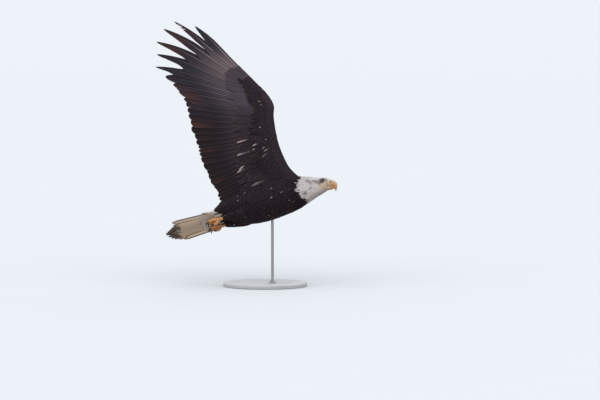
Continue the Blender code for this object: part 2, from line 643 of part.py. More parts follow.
def make_alula(bird, side, label):
    """The thumb's small feathers, lying on top of the hand just behind its leading edge."""
    t = np.linspace(0, 1, 7)[:, None]
    middle = np.array(ALULA_ROOT) + t * (np.array(ALULA_TIP) - np.array(ALULA_ROOT))
    half = (ALULA_HALF * (1 - t**2.2) + TIP_THICK) * np.array((-1.0, 0.0, 1.0))
    span, chord = middle[:, :1] + 0 * half, middle[:, 1:] + half + bend(side, middle[:, :1])
    lead, rear = arm_edges(side, span)
    under = ABOVE_SHARE * arm_thickness(span, (lead - chord) / (lead - rear)) + 4 * GAP
    top = wing_point(side, span, chord, under + ALULA_THICK)
    bottom = wing_point(side, span, chord, under)
    build(f"alula_{label}", *slab(top, bottom), "brown_plumage", bird)


def make_wing(bird, side, label, body):
    make_arm(bird, side, label, body)
    make_alula(bird, side, label)
    roots, tips = flight_shafts(side)
    for j in range(FINGERS):
        make_finger(bird, side, label, j, roots, tips)
    panels = (
        (f"primaries_inner_{label}", FINGERS, len(PRIMARY_TIPS)),
        (f"secondaries_outer_{label}", len(PRIMARY_TIPS), len(PRIMARY_TIPS) + 9),
        (f"secondaries_inner_{label}", len(PRIMARY_TIPS) + 9, len(roots) - 3),
        (f"tertials_{label}", len(roots) - 3, len(roots)),
    )
    for name, first, last in panels:
        piece = make_panel(bird, side, name, first, last, roots, tips)
        if name.startswith("tertials"):
            cut(piece, body["whole"])


# ---- stand ------------------------------------------------------------------------------------------


def turned(name, profile, centre, finish, sides):
    """A solid of revolution from (radius, height) points, standing on its axis."""
    angle = np.linspace(0, 2 * math.pi, sides, endpoint=False)[None, :]
    radius, height = (np.asarray(profile)[:, k][:, None] for k in (0, 1))
    rings = np.stack([radius * np.cos(angle), radius * np.sin(angle), height + 0 * angle], axis=-1)
    obj = build(name, *loft(rings), finish)
    obj.location = centre
    return obj


def make_stand(trunk):
    edge, bevel = BASE_RADIUS, BASE_BEVEL
    base = ((edge - bevel, 0), (edge, bevel), (edge, BASE_HEIGHT - bevel), (edge - bevel, BASE_HEIGHT))
    turned("stand_base", base, (0, 0, 0), "stand_lacquer", 48)
    foot = (BIRD_AT[0], BIRD_AT[1], BASE_HEIGHT + GAP)
    top = BIRD_AT[2] - BELLY_DEPTH + ROD_SINK - foot[2]
    rod = ((ROD_RADIUS, 0), (ROD_RADIUS, top - ROD_BEVEL), (ROD_RADIUS - ROD_BEVEL, top))
    turned("stand_rod", rod, foot, "stand_steel", 20)
    shoulder = (COLLAR_RADIUS, COLLAR_HEIGHT - COLLAR_BEVEL)
    collar = ((COLLAR_RADIUS, 0), shoulder, (COLLAR_RADIUS - COLLAR_BEVEL, COLLAR_HEIGHT))
    ring = turned("stand_collar", collar, foot, "stand_steel", 24)
    bore = ((ROD_RADIUS + GAP, -0.02), (ROD_RADIUS + GAP, 0.05))
    cut(ring, helper(turned("cutter_collar", bore, foot, "stand_steel", 20)))
    socket = ((ROD_RADIUS + GAP, -0.12), (ROD_RADIUS + GAP, top + GAP))
    cut(trunk, helper(turned("cutter_rod", socket, foot, "stand_steel", 20)))


def main():
    clear_scene()
    bird = bpy.data.objects.new("bird", None)
    bpy.context.scene.collection.objects.link(bird)
    bird.matrix_world = (
        Matrix.Translation(Vector(BIRD_AT)) @ Matrix.Rotation(-PITCH, 4, "Y") @ Matrix.Rotation(-BANK, 4, "X")
    )
    body = make_body(bird)
    make_bill(bird)
    make_eyes(bird, body["head"])
    make_tail_coverts(bird)
    make_tail(bird)
    for label, side in (("left", 1), ("right", -1)):
        make_leg(bird, body, label, side)
        make_wing(bird, side, label, body)
    make_stand(body["trunk"])


main()
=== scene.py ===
"""A life-size bald eagle in flight on a display stand: its skin, its coat of feathers, and the studio.

The bird is worked out level in its own frame, in metres: +X to the bill, +Y to its left, +Z up. A chart
turns two numbers and a lift into a point just over one of its surfaces, and every feather is laid on a
chart. The whole bird is then pitched and banked over the stand, as the solids are.
"""

import math
from functools import partial

import bpy
import numpy as np
from mathutils import Matrix, Vector
from numpy.random import default_rng


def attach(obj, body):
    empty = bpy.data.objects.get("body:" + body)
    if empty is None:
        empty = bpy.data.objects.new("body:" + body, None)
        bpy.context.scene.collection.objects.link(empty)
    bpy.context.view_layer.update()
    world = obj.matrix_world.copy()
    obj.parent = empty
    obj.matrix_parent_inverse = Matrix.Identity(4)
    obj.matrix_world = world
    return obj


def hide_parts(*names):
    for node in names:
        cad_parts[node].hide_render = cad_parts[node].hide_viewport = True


bl_info = {
    "name": "Bald eagle in flight",
    "version": (1, 0, 0),
    "blender": (4, 5, 0),
    "location": "View3D > Sidebar > Eagle",
    "description": "Lays the skin, feathers, bill, eyes, legs and stand finish of a life-size flying eagle",
    "category": "Object",
}

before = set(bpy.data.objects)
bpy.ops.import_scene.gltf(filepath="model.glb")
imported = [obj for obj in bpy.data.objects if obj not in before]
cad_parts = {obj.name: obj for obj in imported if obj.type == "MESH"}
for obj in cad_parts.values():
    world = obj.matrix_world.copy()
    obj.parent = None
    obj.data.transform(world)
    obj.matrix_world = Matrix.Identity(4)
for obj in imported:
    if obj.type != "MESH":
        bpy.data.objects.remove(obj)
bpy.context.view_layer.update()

SIDES = (("left", 1), ("right", -1))

# The studio: the middle of the view from the bird's place, and the floor's flat part, rim and height of rim
VIEW_MIDDLE = (0.131, 0.0, -0.006)
FLOOR_FLAT, FLOOR_RIM, RIM_RISE = 32.0, 90.0, 16.0
# How the bird is held
PITCH, BANK = math.radians(16.0), math.radians(28.0)
BIRD_AT = (0.035, -0.045, 0.42)

# Rump, trunk, neck and head: x, z, tilt of the section, half width, height above, depth below.
# The first two rows are the tail coverts; stations are counted from the third.
BODY_STATIONS = (
    (-0.345, -0.0235, 0.0, 0.0765, 0.005, 0.0045),
    (-0.3, -0.019, 0.0, 0.068, 0.0215, 0.011),
    (-0.268, -0.008, 0.0, 0.057, 0.034, 0.023),
    (-0.215, -0.002, 0.0, 0.074, 0.064, 0.046),
    (-0.139, 0.0, 0.0, 0.086, 0.081, 0.082),
    (-0.05, 0.0, 0.0, 0.093, 0.092, 0.094),
    (0.04, -0.001, 0.0, 0.09, 0.088, 0.088),
    (0.11, -0.003, 0.0, 0.078, 0.078, 0.077),
    (0.152, -0.002, -2.0, 0.064, 0.067, 0.067),
    (0.188, -0.002, -7.0, 0.051, 0.054, 0.058),
    (0.214, -0.006, -13.0, 0.043, 0.0465, 0.047),
    (0.24, -0.007, -17.5, 0.037, 0.0422, 0.04),
    (0.255, -0.0075, -17.5, 0.0315, 0.0388, 0.0345),
    (0.2689, -0.009, -17.5, 0.023, 0.0318, 0.03),
)
RUMP_ROWS = 2
FACE_STATION = 11.0

# Head frame, its eyes and its bill: x, z, half width, half height
HEAD_AT, HEAD_TILT = (0.248, 0.0178), math.radians(-17.5)
EYE_AT, EYE_RADIUS = (0.0055, 0.0278, -0.0142), 0.0106
BROW_HEIGHT, EYE_HOLLOW, EYE_STATION = 0.003, 0.003, 9.4
UPPER_BILL = (
    (0.0277, -0.01, 0.016, 0.0212),
    (0.043, -0.0112, 0.014, 0.0192),
    (0.057, -0.015, 0.0115, 0.0165),
    (0.0655, -0.023, 0.009, 0.0122),
    (0.0697, -0.0335, 0.0063, 0.0068),
    (0.0705, -0.043, 0.0036, 0.004),
    (0.069, -0.052, 0.0009, 0.0009),
)
LOWER_BILL = (
    (0.0277, -0.0395, 0.0125, 0.0062),
    (0.041, -0.0372, 0.0098, 0.0052),
    (0.0545, -0.0358, 0.006, 0.0034),
    (0.06, -0.0356, 0.0022, 0.0018),
)

# Legs: x, distance from the midline, z, radius
THIGH = ((-0.085, 0.05, -0.046, 0.022), (-0.15, 0.048, -0.045, 0.027),
         (-0.205, 0.042, -0.043, 0.021), (-0.243, 0.037, -0.0425, 0.012))
SHANK = ((-0.247, 0.0363, -0.0428, 0.0084), (-0.257, 0.0362, -0.0432, 0.008),
         (-0.2675, 0.036, -0.0434, 0.0088))
PAD_AT, PAD_RADIUS = (-0.279, 0.036, -0.0435), 0.0112
LEFT_FOOT_DROP = 0.004
TOES = {
    "inner": (((0.002, -0.003, 0), (-0.018, -0.0125, 0.001), (-0.038, -0.013, -0.002)), 0.008, 0.0062),
    "middle": (((0, 0, 0.001), (-0.023, -0.0005, 0.004), (-0.046, 0.0, 0.0)), 0.0082, 0.0064),
    "outer": (((0.002, 0.003, 0), (-0.017, 0.012, 0.001), (-0.036, 0.013, -0.002)), 0.0076, 0.0058),
    "hind": (((0.002, -0.001, -0.003), (-0.002, -0.002, -0.013), (-0.016, -0.002, -0.0165)), 0.0076, 0.006),
}
CLAW_LENGTH, CLAW_RADIUS = 0.023, 0.0042
# Claws: how many degrees they bend through, and the way they curl to
FRONT_CLAW, HIND_CLAW = (125.0, (0.45, 0.0, -1.0)), (75.0, (-0.9, 0.0, 0.35))

# Tail: each feather's length and how far its tip is to the left, from the right edge to the left one
TAIL_AT = (-0.25, 0.0, -0.0235)
TAIL_DROOP, TAIL_TWIST = math.radians(0.5), math.radians(12.0)
TAIL_TIPS = ((0.237, -0.078), (0.237, -0.052), (0.25, -0.036), (0.262, -0.024), (0.274, -0.013),
             (0.284, -0.002), (0.284, 0.012), (0.277, 0.03), (0.266, 0.044), (0.252, 0.056),
             (0.23, 0.066), (0.208, 0.075))
TAIL_ROOT_HALF = 0.06
TAIL_VANES, OUTER_TAIL_VANES = (0.009, 0.018), (0.01, 0.021)

# Wing plan on the flattened wing: distance out from the shoulder, distance forward of the bird's origin
SHOULDER = (0.06, 0.055)
WING_RISE, WING_CURL = math.radians(72.0), math.radians(20.0)
WING_CAMBER, CAMBER_TOP = 0.3, 0.03
LEADING_EDGE = ((-0.02, 0.163), (0.017, 0.137), (0.07, 0.116), (0.18, 0.1035), (0.3, 0.115),
                (0.355, 0.131), (0.416, 0.116), (0.482, 0.081), (0.6, 0.018))
COVERT_EDGE = ((-0.02, -0.114), (0.1, -0.118), (0.2, -0.088), (0.3, -0.068), (0.43, -0.056),
               (0.5, -0.066), (0.552, -0.064), (0.578, -0.04), (0.595, -0.004))
ARM_START, ELBOW_SPAN, WRIST_SPAN, HAND_SPAN = -0.018, 0.155, 0.36, 0.592
WING_THICK = ((-0.02, 0.04), (0.1, 0.036), (0.22, 0.028), (0.36, 0.022), (0.48, 0.014), (0.6, 0.006))
WING_EDGE_THICK, ABOVE_SHARE = 0.0028, 0.55
ALULA_ROOT, ALULA_TIP = (0.392, 0.098), (0.505, 0.04)

# Flight feathers
PRIMARY_ROOTS = ((0.529, 0.044), (0.355, 0.081))
PRIMARY_TIPS = ((0.86, -0.134), (0.915, -0.225), (0.892, -0.284), (0.836, -0.333), (0.771, -0.347),
                (0.709, -0.368), (0.645, -0.333), (0.594, -0.307), (0.551, -0.289), (0.504, -0.272))
PRIMARIES, FINGERS, SECONDARIES = 10, 6, 20
FINGER_SLOTS = (0.63, 0.55, 0.62, 0.72, 0.79, 0.9)
SECONDARY_ROOTS = ((0.345, 0.078), (0.25, 0.035), (0.15, -0.022), (0.05, -0.01))
SECONDARY_TIPS = ((0.48, -0.266), (0.38, -0.272), (0.27, -0.271), (0.21, -0.277),
                  (0.105, -0.258), (0.045, -0.244), (-0.012, -0.24))
FINGER_LEADS = (0.0105, 0.013, 0.018, 0.018, 0.018, 0.016)
FINGER_TRAILS = (0.027, 0.02, 0.0265, 0.0265, 0.027, 0.027)
FINGER_ARCHES = (0.006, 0.008, 0.01, 0.013, 0.013, 0.012, 0.007, 0.003, 0.0)
FINGER_FULL, SLOT_EASE = 0.022, 0.2
# How much of a vane its point takes, and the power by which it narrows: fingers, primaries, secondaries
FINGER_POINT, PRIMARY_POINT, SECONDARY_POINT = (0.32, 0.6), (0.12, 0.5), (0.065, 0.42)
VANE_THICK = 0.0006
TORN_TIP = ((0.852, 0.85, 0.004), (0.878, 0.75, 0.003), (0.905, 0.95, 0.007), (0.932, 0.9, 0.004))

# How the left wing differs from the right
LEFT_RISE, LEFT_WRIST_BACK = math.radians(-2.0), 0.038
LEFT_HAND_TURN, LEFT_ARM_TURN = math.radians(15.5), math.radians(14.0)
LEFT_FAN, LEFT_TWIST, LEFT_DRAWN_IN = 0.87, 0.1, 0.19

# The coat: how deep it lies over the skin at the rump, belly, breast, neck, crown and face
COAT_AT = (-2.0, 0.0, 2.0, 5.0, 7.0, 9.0, 11.0)
COAT_DEPTH = (0.0018, 0.006, 0.008, 0.008, 0.005, 0.0026, 0.0014)
WING_COAT = 0.0022
BARB_SLANT = 1.25  # how far toward the tip a barb runs for each bit out from the shaft


# ---- curves ----


def smooth(t):
    """A soft step from 0 to 1 as t goes from 0 to 1: 3 t squared less 2 t cubed."""
    t = np.clip(t, 0.0, 1.0)
    return t * t * (3 - 2 * t)


def along(points, at):
    """Catmull-Rom curve through rows of points, read at station numbers of any shape; straight on past
    its ends."""
    points = np.asarray(points, float)
    asked = np.asarray(at, float)
    at = np.clip(asked, 0, len(points) - 1)
    i = np.minimum(at.astype(int), len(points) - 2)
    t = (at - i)[..., None]
    p = np.vstack([2 * points[0] - points[1], points, 2 * points[-1] - points[-2]])
    a, b, c, d = p[i], p[i + 1], p[i + 2], p[i + 3]
    curve = 0.5 * (2 * b + (c - a) * t + (2 * a - 5 * b + 4 * c - d) * t**2 + (3 * b - a - 3 * c + d) * t**3)
    past = (asked - at)[..., None]
    return curve + past * np.where(past < 0, points[1] - points[0], points[-1] - points[-2])


def graph(points, x):
    """The curve through (x, y) points read as y for given x."""
    fine = along(points, np.linspace(0, len(points) - 1, 40 * len(points)))
    order = np.argsort(fine[:, 0])
    return np.interp(x, fine[order, 0], fine[order, 1])


def spread(start, end, step):
    """Places from start to end, each step(place) on from the one before."""
    places, at = [], start
    while at <= end:
        places.append(at)
        at += float(step(at))
    return np.array(places)


def pack(*parts):
    """Numbers or arrays side by side, as the last axis of one array."""
    return np.stack(np.broadcast_arrays(*parts), axis=-1)


def turns(count):
    """Angles all the way round."""
    return np.linspace(0, 2 * math.pi, count, endpoint=False)


def bell(at, middle, wide):
    """A bell curve of height 1: e to the minus square of the distance from the middle over the width."""
    return np.exp(-(((at - middle) / wide) ** 2))


def swung(angle, first, second):
    """Directions at angles from the first way toward the second: cos a of the one and sin a of the other."""
    return np.cos(angle)[..., None] * first + np.sin(angle)[..., None] * second


def unit(vectors):
    """Vectors over their lengths."""
    return vectors / np.maximum(np.linalg.norm(vectors, axis=-1, keepdims=True), 1e-12)


def near(a, b, spots, reach):
    """1 at each of the spots, (a, b) or (a, b, size) rows, falling off as a bell over reach."""
    found = np.zeros(np.shape(a))
    for spot in spots:
        wide = reach * (spot[2] if len(spot) > 2 else 1.0)
        found = np.maximum(found, np.exp(-((a - spot[0]) ** 2 + (b - spot[1]) ** 2) / wide**2))
    return found


# ---- charts: two numbers and a lift to a point of the bird ----


def body_chart(station, angle, lift):
    """The trunk, neck and head: two half ellipses about a curved axis, grown by the lift, with a brow shelf
    and an eye hollow as bell-shaped swells. Behind the trunk the rump turns with the tail."""
    station, angle, lift = np.broadcast_arrays(station, angle, lift)
    x, z, tilt, half, above, below = np.moveaxis(along(BODY_STATIONS, station + RUMP_ROWS), -1, 0)
    above, below = np.maximum(above, 0.003), np.maximum(below, 0.003)
    tilt = np.radians(tilt)
    turn, height = np.cos(angle), np.sin(angle)
    rise = np.where(height >= 0, above, below) + lift
    near_eye = bell(station, EYE_STATION, 0.75) * smooth(np.abs(turn) / 0.3)
    brow = BROW_HEIGHT * bell(height, 0.62, 0.16)
    hollow = EYE_HOLLOW * bell(height, 0.2, 0.24)
    out = (half + near_eye * (brow - hollow) + lift) * turn
    up = rise * height
    point = pack(x - up * np.sin(tilt), out, z + up * np.cos(tilt))
    twist = TAIL_TWIST * smooth((TAIL_AT[0] - point[..., 0] - 0.02) / 0.06)
    over = point[..., 2] - TAIL_AT[2]
    y = point[..., 1] * np.cos(twist) + over * np.sin(twist)
    z = TAIL_AT[2] - point[..., 1] * np.sin(twist) + over * np.cos(twist)
    return pack(point[..., 0], y, z)


def head_to_bird(points):
    """Points given in the head frame, in the bird's."""
    x, y, z = np.moveaxis(np.asarray(points, float), -1, 0)
    forward = HEAD_AT[0] + x * math.cos(HEAD_TILT) - z * math.sin(HEAD_TILT)
    up = HEAD_AT[1] + x * math.sin(HEAD_TILT) + z * math.cos(HEAD_TILT)
    return pack(forward, y, up)


def tail_chart(back, out, rise):
    """A point on the tail: distance back from its root, out to the left, and up from its twisted plane."""
    back, out, rise = np.broadcast_arrays(back, out, rise)
    x = TAIL_AT[0] - back * math.cos(TAIL_DROOP)
    twist = TAIL_TWIST * smooth((back - 0.02) / 0.06)
    y = out * np.cos(twist) + rise * np.sin(twist)
    z = TAIL_AT[2] - back * math.sin(TAIL_DROOP) - out * np.sin(twist) + rise * np.cos(twist)
    return pack(x, y, z)


def wing_point(side, span, chord, rise):
    """A point of the flattened wing in the bird's frame: the span runs out along an arc that rises from the
    shoulder, and the rise stands square to it, less a camber that grows as the square of the chord."""
    span, chord, rise = np.broadcast_arrays(span, chord, rise)
    start = WING_RISE + (LEFT_RISE if side > 0 else 0.0)
    turn = start + WING_CURL * span
    out = SHOULDER[0] + (np.sin(turn) - math.sin(start)) / WING_CURL
    up = SHOULDER[1] + (math.cos(start) - np.cos(turn)) / WING_CURL
    camber = WING_CAMBER * (1 - smooth((span - 0.35) / 0.4))
    rise = rise - camber * (chord - CAMBER_TOP) ** 2
    if side > 0:
        rise = rise + LEFT_TWIST * span * (chord - CAMBER_TOP)
    return pack(chord, side * (out - rise * np.sin(turn)), up + rise * np.cos(turn))


def bend(side, span):
    """How far forward of the right wing's plan the left one's lies, out along the span."""
    span = np.asarray(span, float)
    if side < 0:
        return 0.0 * span
    back = LEFT_WRIST_BACK * smooth(span / (1.6 * WRIST_SPAN) + 0.1)
    return math.tan(LEFT_HAND_TURN) * np.maximum(span - WRIST_SPAN, 0) ** 2 / 0.25 - back


def arm_edges(side, span):
    """The leading edge and the rear edge of the coverts at a place out along the span."""
    return graph(LEADING_EDGE, span) + bend(side, span), graph(COVERT_EDGE, span) + bend(side, span)


def arm_thickness(span, share):
    """How thick the arm is at a share of the way back: fullest a quarter of the way, thin at both edges."""
    form = share**0.42 * (1 - share) ** 1.05 / 0.56
    return WING_EDGE_THICK + (graph(WING_THICK, span) - WING_EDGE_THICK) * form


def wing_chart(side, face):
    """The chart of one face of a wing, 1 above and -1 below: its numbers are span and chord."""

    def chart(span, chord, lift):
        span, chord, lift = np.broadcast_arrays(span, chord, lift)
        lead, rear = arm_edges(side, span)
        chord = np.minimum(chord, lead)
        share = np.clip((lead - chord) / np.maximum(lead - rear, 0.004), 0.0, 1.0)
        thick = arm_thickness(span, share)
        deep = ABOVE_SHARE * thick if face > 0 else (ABOVE_SHARE - 1) * thick
        return wing_point(side, span, chord, deep + face * lift)

    return chart


def thigh_path(side):
    """The middle line and radii of a thigh. The left foot hangs a little lower than the right one."""
    path = np.array(THIGH)
    if side > 0:
        path[:, 2] -= LEFT_FOOT_DROP * np.array((0, 0.25, 0.7, 1))
    return path


def thigh_chart(side):
    """The chart of a thigh: how far along it, from 0 to 3, and the angle round it from its outer side up."""
    path = thigh_path(side)

    def chart(place, angle, lift):
        place, angle, lift = np.broadcast_arrays(place, angle, lift)
        x, y, z, radius = np.moveaxis(along(path, place), -1, 0)
        radius = radius + lift
        return pack(x, side * (y + radius * np.cos(angle)), z + radius * np.sin(angle))

    return chart


def flight_shafts(side):
    """Root and tip of every flight feather on the flattened wing, from the outermost primary in."""
    share = np.linspace(0, 1, PRIMARIES)[:, None]
    outer = (1 - share) * np.array(PRIMARY_ROOTS[0]) + share * np.array(PRIMARY_ROOTS[1])
    inner = along(SECONDARY_ROOTS, np.linspace(0, len(SECONDARY_ROOTS) - 1, SECONDARIES))
    roots = np.vstack([outer, inner])
    ends = along(SECONDARY_TIPS, np.linspace(0, len(SECONDARY_TIPS) - 1, SECONDARIES))
    ends[:, 1] += 0.003 * default_rng(8).normal(size=SECONDARIES)
    tips = np.vstack([PRIMARY_TIPS, ends])
    if side > 0:
        reach = tips - roots
        length, angle = np.hypot(*reach.T), np.arctan2(reach[:, 0], -reach[:, 1])
        first = PRIMARIES - 1
        fan = angle.copy()
        fan[:first] = angle[first] + (angle[:first] - angle[first]) * LEFT_FAN
        mean = 0.5 * (LEFT_ARM_TURN + LEFT_HAND_TURN)
        at = (0.0, ELBOW_SPAN, WRIST_SPAN, PRIMARY_ROOTS[0][0])
        fan += np.interp(roots[:, 0], at, (0.0, LEFT_ARM_TURN, mean, LEFT_HAND_TURN))
        length = length * (1 - LEFT_DRAWN_IN * (1 - smooth(roots[:, 0] / 0.25)))
        roots = roots + pack(0, bend(side, roots[:, 0]))
        tips = roots + length[:, None] * pack(np.sin(fan), -np.cos(fan))
    return roots, tips


def to_world(points):
    """Points of the level bird, pitched and banked over the stand."""
    p, b = -PITCH, -BANK
    about_y = np.array(((math.cos(p), 0, math.sin(p)), (0, 1, 0), (-math.sin(p), 0, math.cos(p))))
    about_x = np.array(((1, 0, 0), (0, math.cos(b), -math.sin(b)), (0, math.sin(b), math.cos(b))))
    return np.asarray(points) @ (about_y @ about_x).T + np.array(BIRD_AT)


# ---- meshes ----


def ring_quads(rows, sides, bands):
    """Quads between neighbouring rings of equal count; where bands is rows, the last ring meets the
    first."""
    i, j = np.meshgrid(np.arange(bands), np.arange(sides), indexing="ij")
    k, m = (j + 1) % sides, (i + 1) % rows
    return pack(i * sides + j, i * sides + k, m * sides + k, m * sides + j).reshape(-1, 4)


def ring_faces(rows, sides):
    """Faces of a closed form through rings of equal count, capped at both ends."""
    first, last = np.arange(sides)[::-1][None], np.arange(sides)[None] + (rows - 1) * sides
    return [ring_quads(rows, sides, rows - 1), first, last]


def leaf_faces(rows, cols):
    """Faces of a crowned leaf: its upper side a grid, its under side one strip from rim to rim."""
    i, j = np.meshgrid(np.arange(rows - 1), np.arange(cols - 1), indexing="ij")
    at = i * cols + j
    top = pack(at, at + cols, at + cols + 1, at + 1).reshape(-1, 4)
    i = np.arange(rows - 1) * cols
    under = pack(i, i + cols - 1, i + 2 * cols - 1, i + cols)
    first, last = np.arange(cols)[None], np.arange(cols)[::-1][None] + (rows - 1) * cols
    return [top, under, first, last]


def volume_sign(points, faces):
    """1 where a closed form's faces point outwards and -1 where inwards, for a stack of forms."""
    total = 0.0
    for group in faces:
        a = points[..., group[:, 0], :]
        for k in range(1, group.shape[1] - 1):
            b, c = points[..., group[:, k], :], points[..., group[:, k + 1], :]
            total = total + np.einsum("...ij,...ij->...", a, np.cross(b, c))
    return np.sign(total)


def stacked(points, faces, **layers):
    """A set of like forms, points (count, size, 3), as flat arrays with every form turned right side out.
    The layers are per-point numbers (count, size, width)."""
    count, size = points.shape[:2]
    centre = points.mean(axis=1, keepdims=True)
    sign = volume_sign(points - centre, faces)
    groups = []
    for group in faces:
        both = np.where(sign[:, None, None] < 0, group[None, :, ::-1], group[None])
        groups.append((both + np.arange(count)[:, None, None] * size).reshape(-1, group.shape[1]))
    flat = {name: np.broadcast_to(layer, (count, size, layer.shape[-1])).reshape(-1, layer.shape[-1])
            for name, layer in layers.items()}
    return {"points": points.reshape(-1, 3), "faces": groups, "layers": flat}


def joined(sets):
    """Several sets as one."""
    faces, start = [], 0
    for one in sets:
        faces += [group + start for group in one["faces"]]
        start += len(one["points"])
    layers = {name: np.vstack([one["layers"][name] for one in sets]) for name in sets[0]["layers"]}
    return {"points": np.vstack([one["points"] for one in sets]), "faces": faces, "layers": layers}


def new_object(name, data):
    """An object in the scene."""
    obj = bpy.data.objects.new(name, data)
    bpy.context.scene.collection.objects.link(obj)
    return obj


def make_object(name, made, material, slot=None, sharp=60.0, replaces=(), stage=False, place=True):
    """One object from a set: points in the bird's frame, faces, and layers of numbers kept as attributes.
    The layer called bake becomes the UV map named OFBake."""
    points = to_world(made["points"]) if place else made["points"]
    mesh = bpy.data.meshes.new(name)
    mesh.vertices.add(len(points))
    mesh.vertices.foreach_set("co", np.ascontiguousarray(points, np.float32).ravel())
    loops = np.concatenate([group.ravel() for group in made["faces"]])
    totals = np.concatenate([np.full(len(group), group.shape[1]) for group in made["faces"]])
    mesh.loops.add(len(loops))
    mesh.loops.foreach_set("vertex_index", loops.astype(np.int32))
    mesh.polygons.add(len(totals))
    starts = np.concatenate([[0], np.cumsum(totals)[:-1]])
    mesh.polygons.foreach_set("loop_start", starts.astype(np.int32))
    mesh.polygons.foreach_set("loop_total", totals.astype(np.int32))
    mesh.update(calc_edges=True)
    for layer, values in made["layers"].items():
        if layer == "bake":
            found = mesh.uv_layers.new(name="OFBake")
            found.data.foreach_set("uv", np.clip(values[loops], 0, 1).astype(np.float32).ravel())
        else:
            found = mesh.attributes.new(layer, "FLOAT_VECTOR", "POINT")
            found.data.foreach_set("vector", values.astype(np.float32).ravel())
    mesh.validate()
    mesh.shade_smooth()
    if sharp:
        mesh.set_sharp_from_angle(angle=math.radians(sharp))
    mesh.materials.append(material)
    obj = new_object(name, mesh)
    if stage:
        return obj
    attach(obj, "root")
    if replaces:
        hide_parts(*replaces)
    return obj


def closed_form(rings, **layers):
    """One closed form through rings (rows, sides, 3), with any layers given for each of its points."""
    rows, sides = rings.shape[:2]
    flat = {name: layer.reshape(1, rows * sides, -1) for name, layer in layers.items()}
    return stacked(rings.reshape(1, -1, 3), ring_faces(rows, sides), **flat)


# ---- feathers ----


def outline(form, u):
    """How wide a small feather is along its length: round-ended, or drawn out to a lance's point."""
    if form == "lance":
        return (0.5 + 0.5 * smooth(u / 0.35)) * np.clip(1 - u**2.0, 0, 1) ** 0.85 + 0.05
    return (0.4 + 0.6 * smooth(u / 0.4)) * np.clip(1 - u**5.0, 0, 1) ** 0.5 + 0.07


def lay_feathers(chart, roots, way, length, half, seed, mark, bounds, lift, depth=0.004, form="round",
                 cup=0.1, turn=5.0, fine=True):
    """Small feathers on a chart. Each grows from its root along its way, (a, b) steps on the chart,
    curving up out of the coat: its height is a quarter-circle sort of rise from -depth at the root to the
    lift at the tip, crowned across by the cup. Out from its middle line it is as wide as its outline
    says. Tangents at the root, found by small steps, turn its length and width into steps on the chart.
    Each one leans, rolls and varies in length a little at random, from the seed."""
    rng = default_rng(seed)
    a, b = roots[:, 0], roots[:, 1]
    count = len(a)
    length = np.broadcast_to(length, count) * (1 + 0.1 * rng.normal(size=count)).clip(0.7, 1.35)
    half = np.broadcast_to(half, count) * (1 + 0.08 * rng.normal(size=count)).clip(0.8, 1.3)
    depth = np.broadcast_to(depth, count)
    lift = np.broadcast_to(lift, count) * (1 + 0.5 * rng.random(count))
    step = 1e-3
    here, over = chart(a, b, 0.0), chart(a, b, 1e-3)
    along_a = (chart(a + step, b, 0.0) - here) / step
    along_b = (chart(a, b + step, 0.0) - here) / step
    outward = unit(over - here)
    ahead = unit(along_a * way[:, :1] + along_b * way[:, 1:])
    across = np.cross(outward, ahead)
    lean = np.radians(turn) * rng.normal(size=count)[:, None]
    straight = ahead
    ahead = straight * np.cos(lean) + across * np.sin(lean)
    across = across * np.cos(lean) - straight * np.sin(lean)
    aa, bb, ab = (along_a**2).sum(1), (along_b**2).sum(1), (along_a * along_b).sum(1)
    det = aa * bb - ab**2

    def steps(direction):
        on_a, on_b = (direction * along_a).sum(1), (direction * along_b).sum(1)
        return (bb * on_a - ab * on_b) / det, (aa * on_b - ab * on_a) / det

    rows = np.array((0.0, 0.22, 0.46, 0.68, 0.85, 0.95, 1.0) if fine else (0.0, 0.3, 0.6, 0.84, 1.0))
    cols = np.array((-1.0, -0.5, 0.0, 0.5, 1.0) if fine else (-1.0, 0.0, 1.0))
    u, v = rows[None, :, None], cols[None, None, :]
    wide = outline(form, rows)[None, :, None]
    bow, roll = 0.05 * rng.normal(size=count) * length, 0.05 + 0.03 * rng.normal(size=count)
    tone = rng.random(count)
    low, high = np.transpose(bounds)
    place = 0.003 + 0.994 * np.clip((roots - low) / (high - low), 0, 1)
    numbers = (a, b, *steps(ahead), *steps(across), length, half, depth, lift, bow, roll, tone)
    a, b, xa, xb, ya, yb, length, half, depth, lift, bow, roll, tone = (
        number[:, None, None] for number in numbers)
    x = length * (u - 0.05 * (v * wide) ** 2)
    y = half * wide * v + bow * u**2
    grown = 1 - (1 - u) ** 2.2
    height = -depth * (1 - grown) + lift * grown + half * wide * (cup * (1 - v**2) + roll * v)
    size = rows.size * cols.size
    points = chart(a + x * xa + y * ya, b + x * xb + y * yb, height).reshape(count, size, 3)
    vane = pack(u, v, tone).reshape(count, size, 3)
    patch = 0.0015 * pack(2 * u - 1, v).reshape(1, size, 2)
    return stacked(points, leaf_faces(rows.size, cols.size), vane=vane, mark=mark[:, None],
                   bake=place[:, None] + patch)


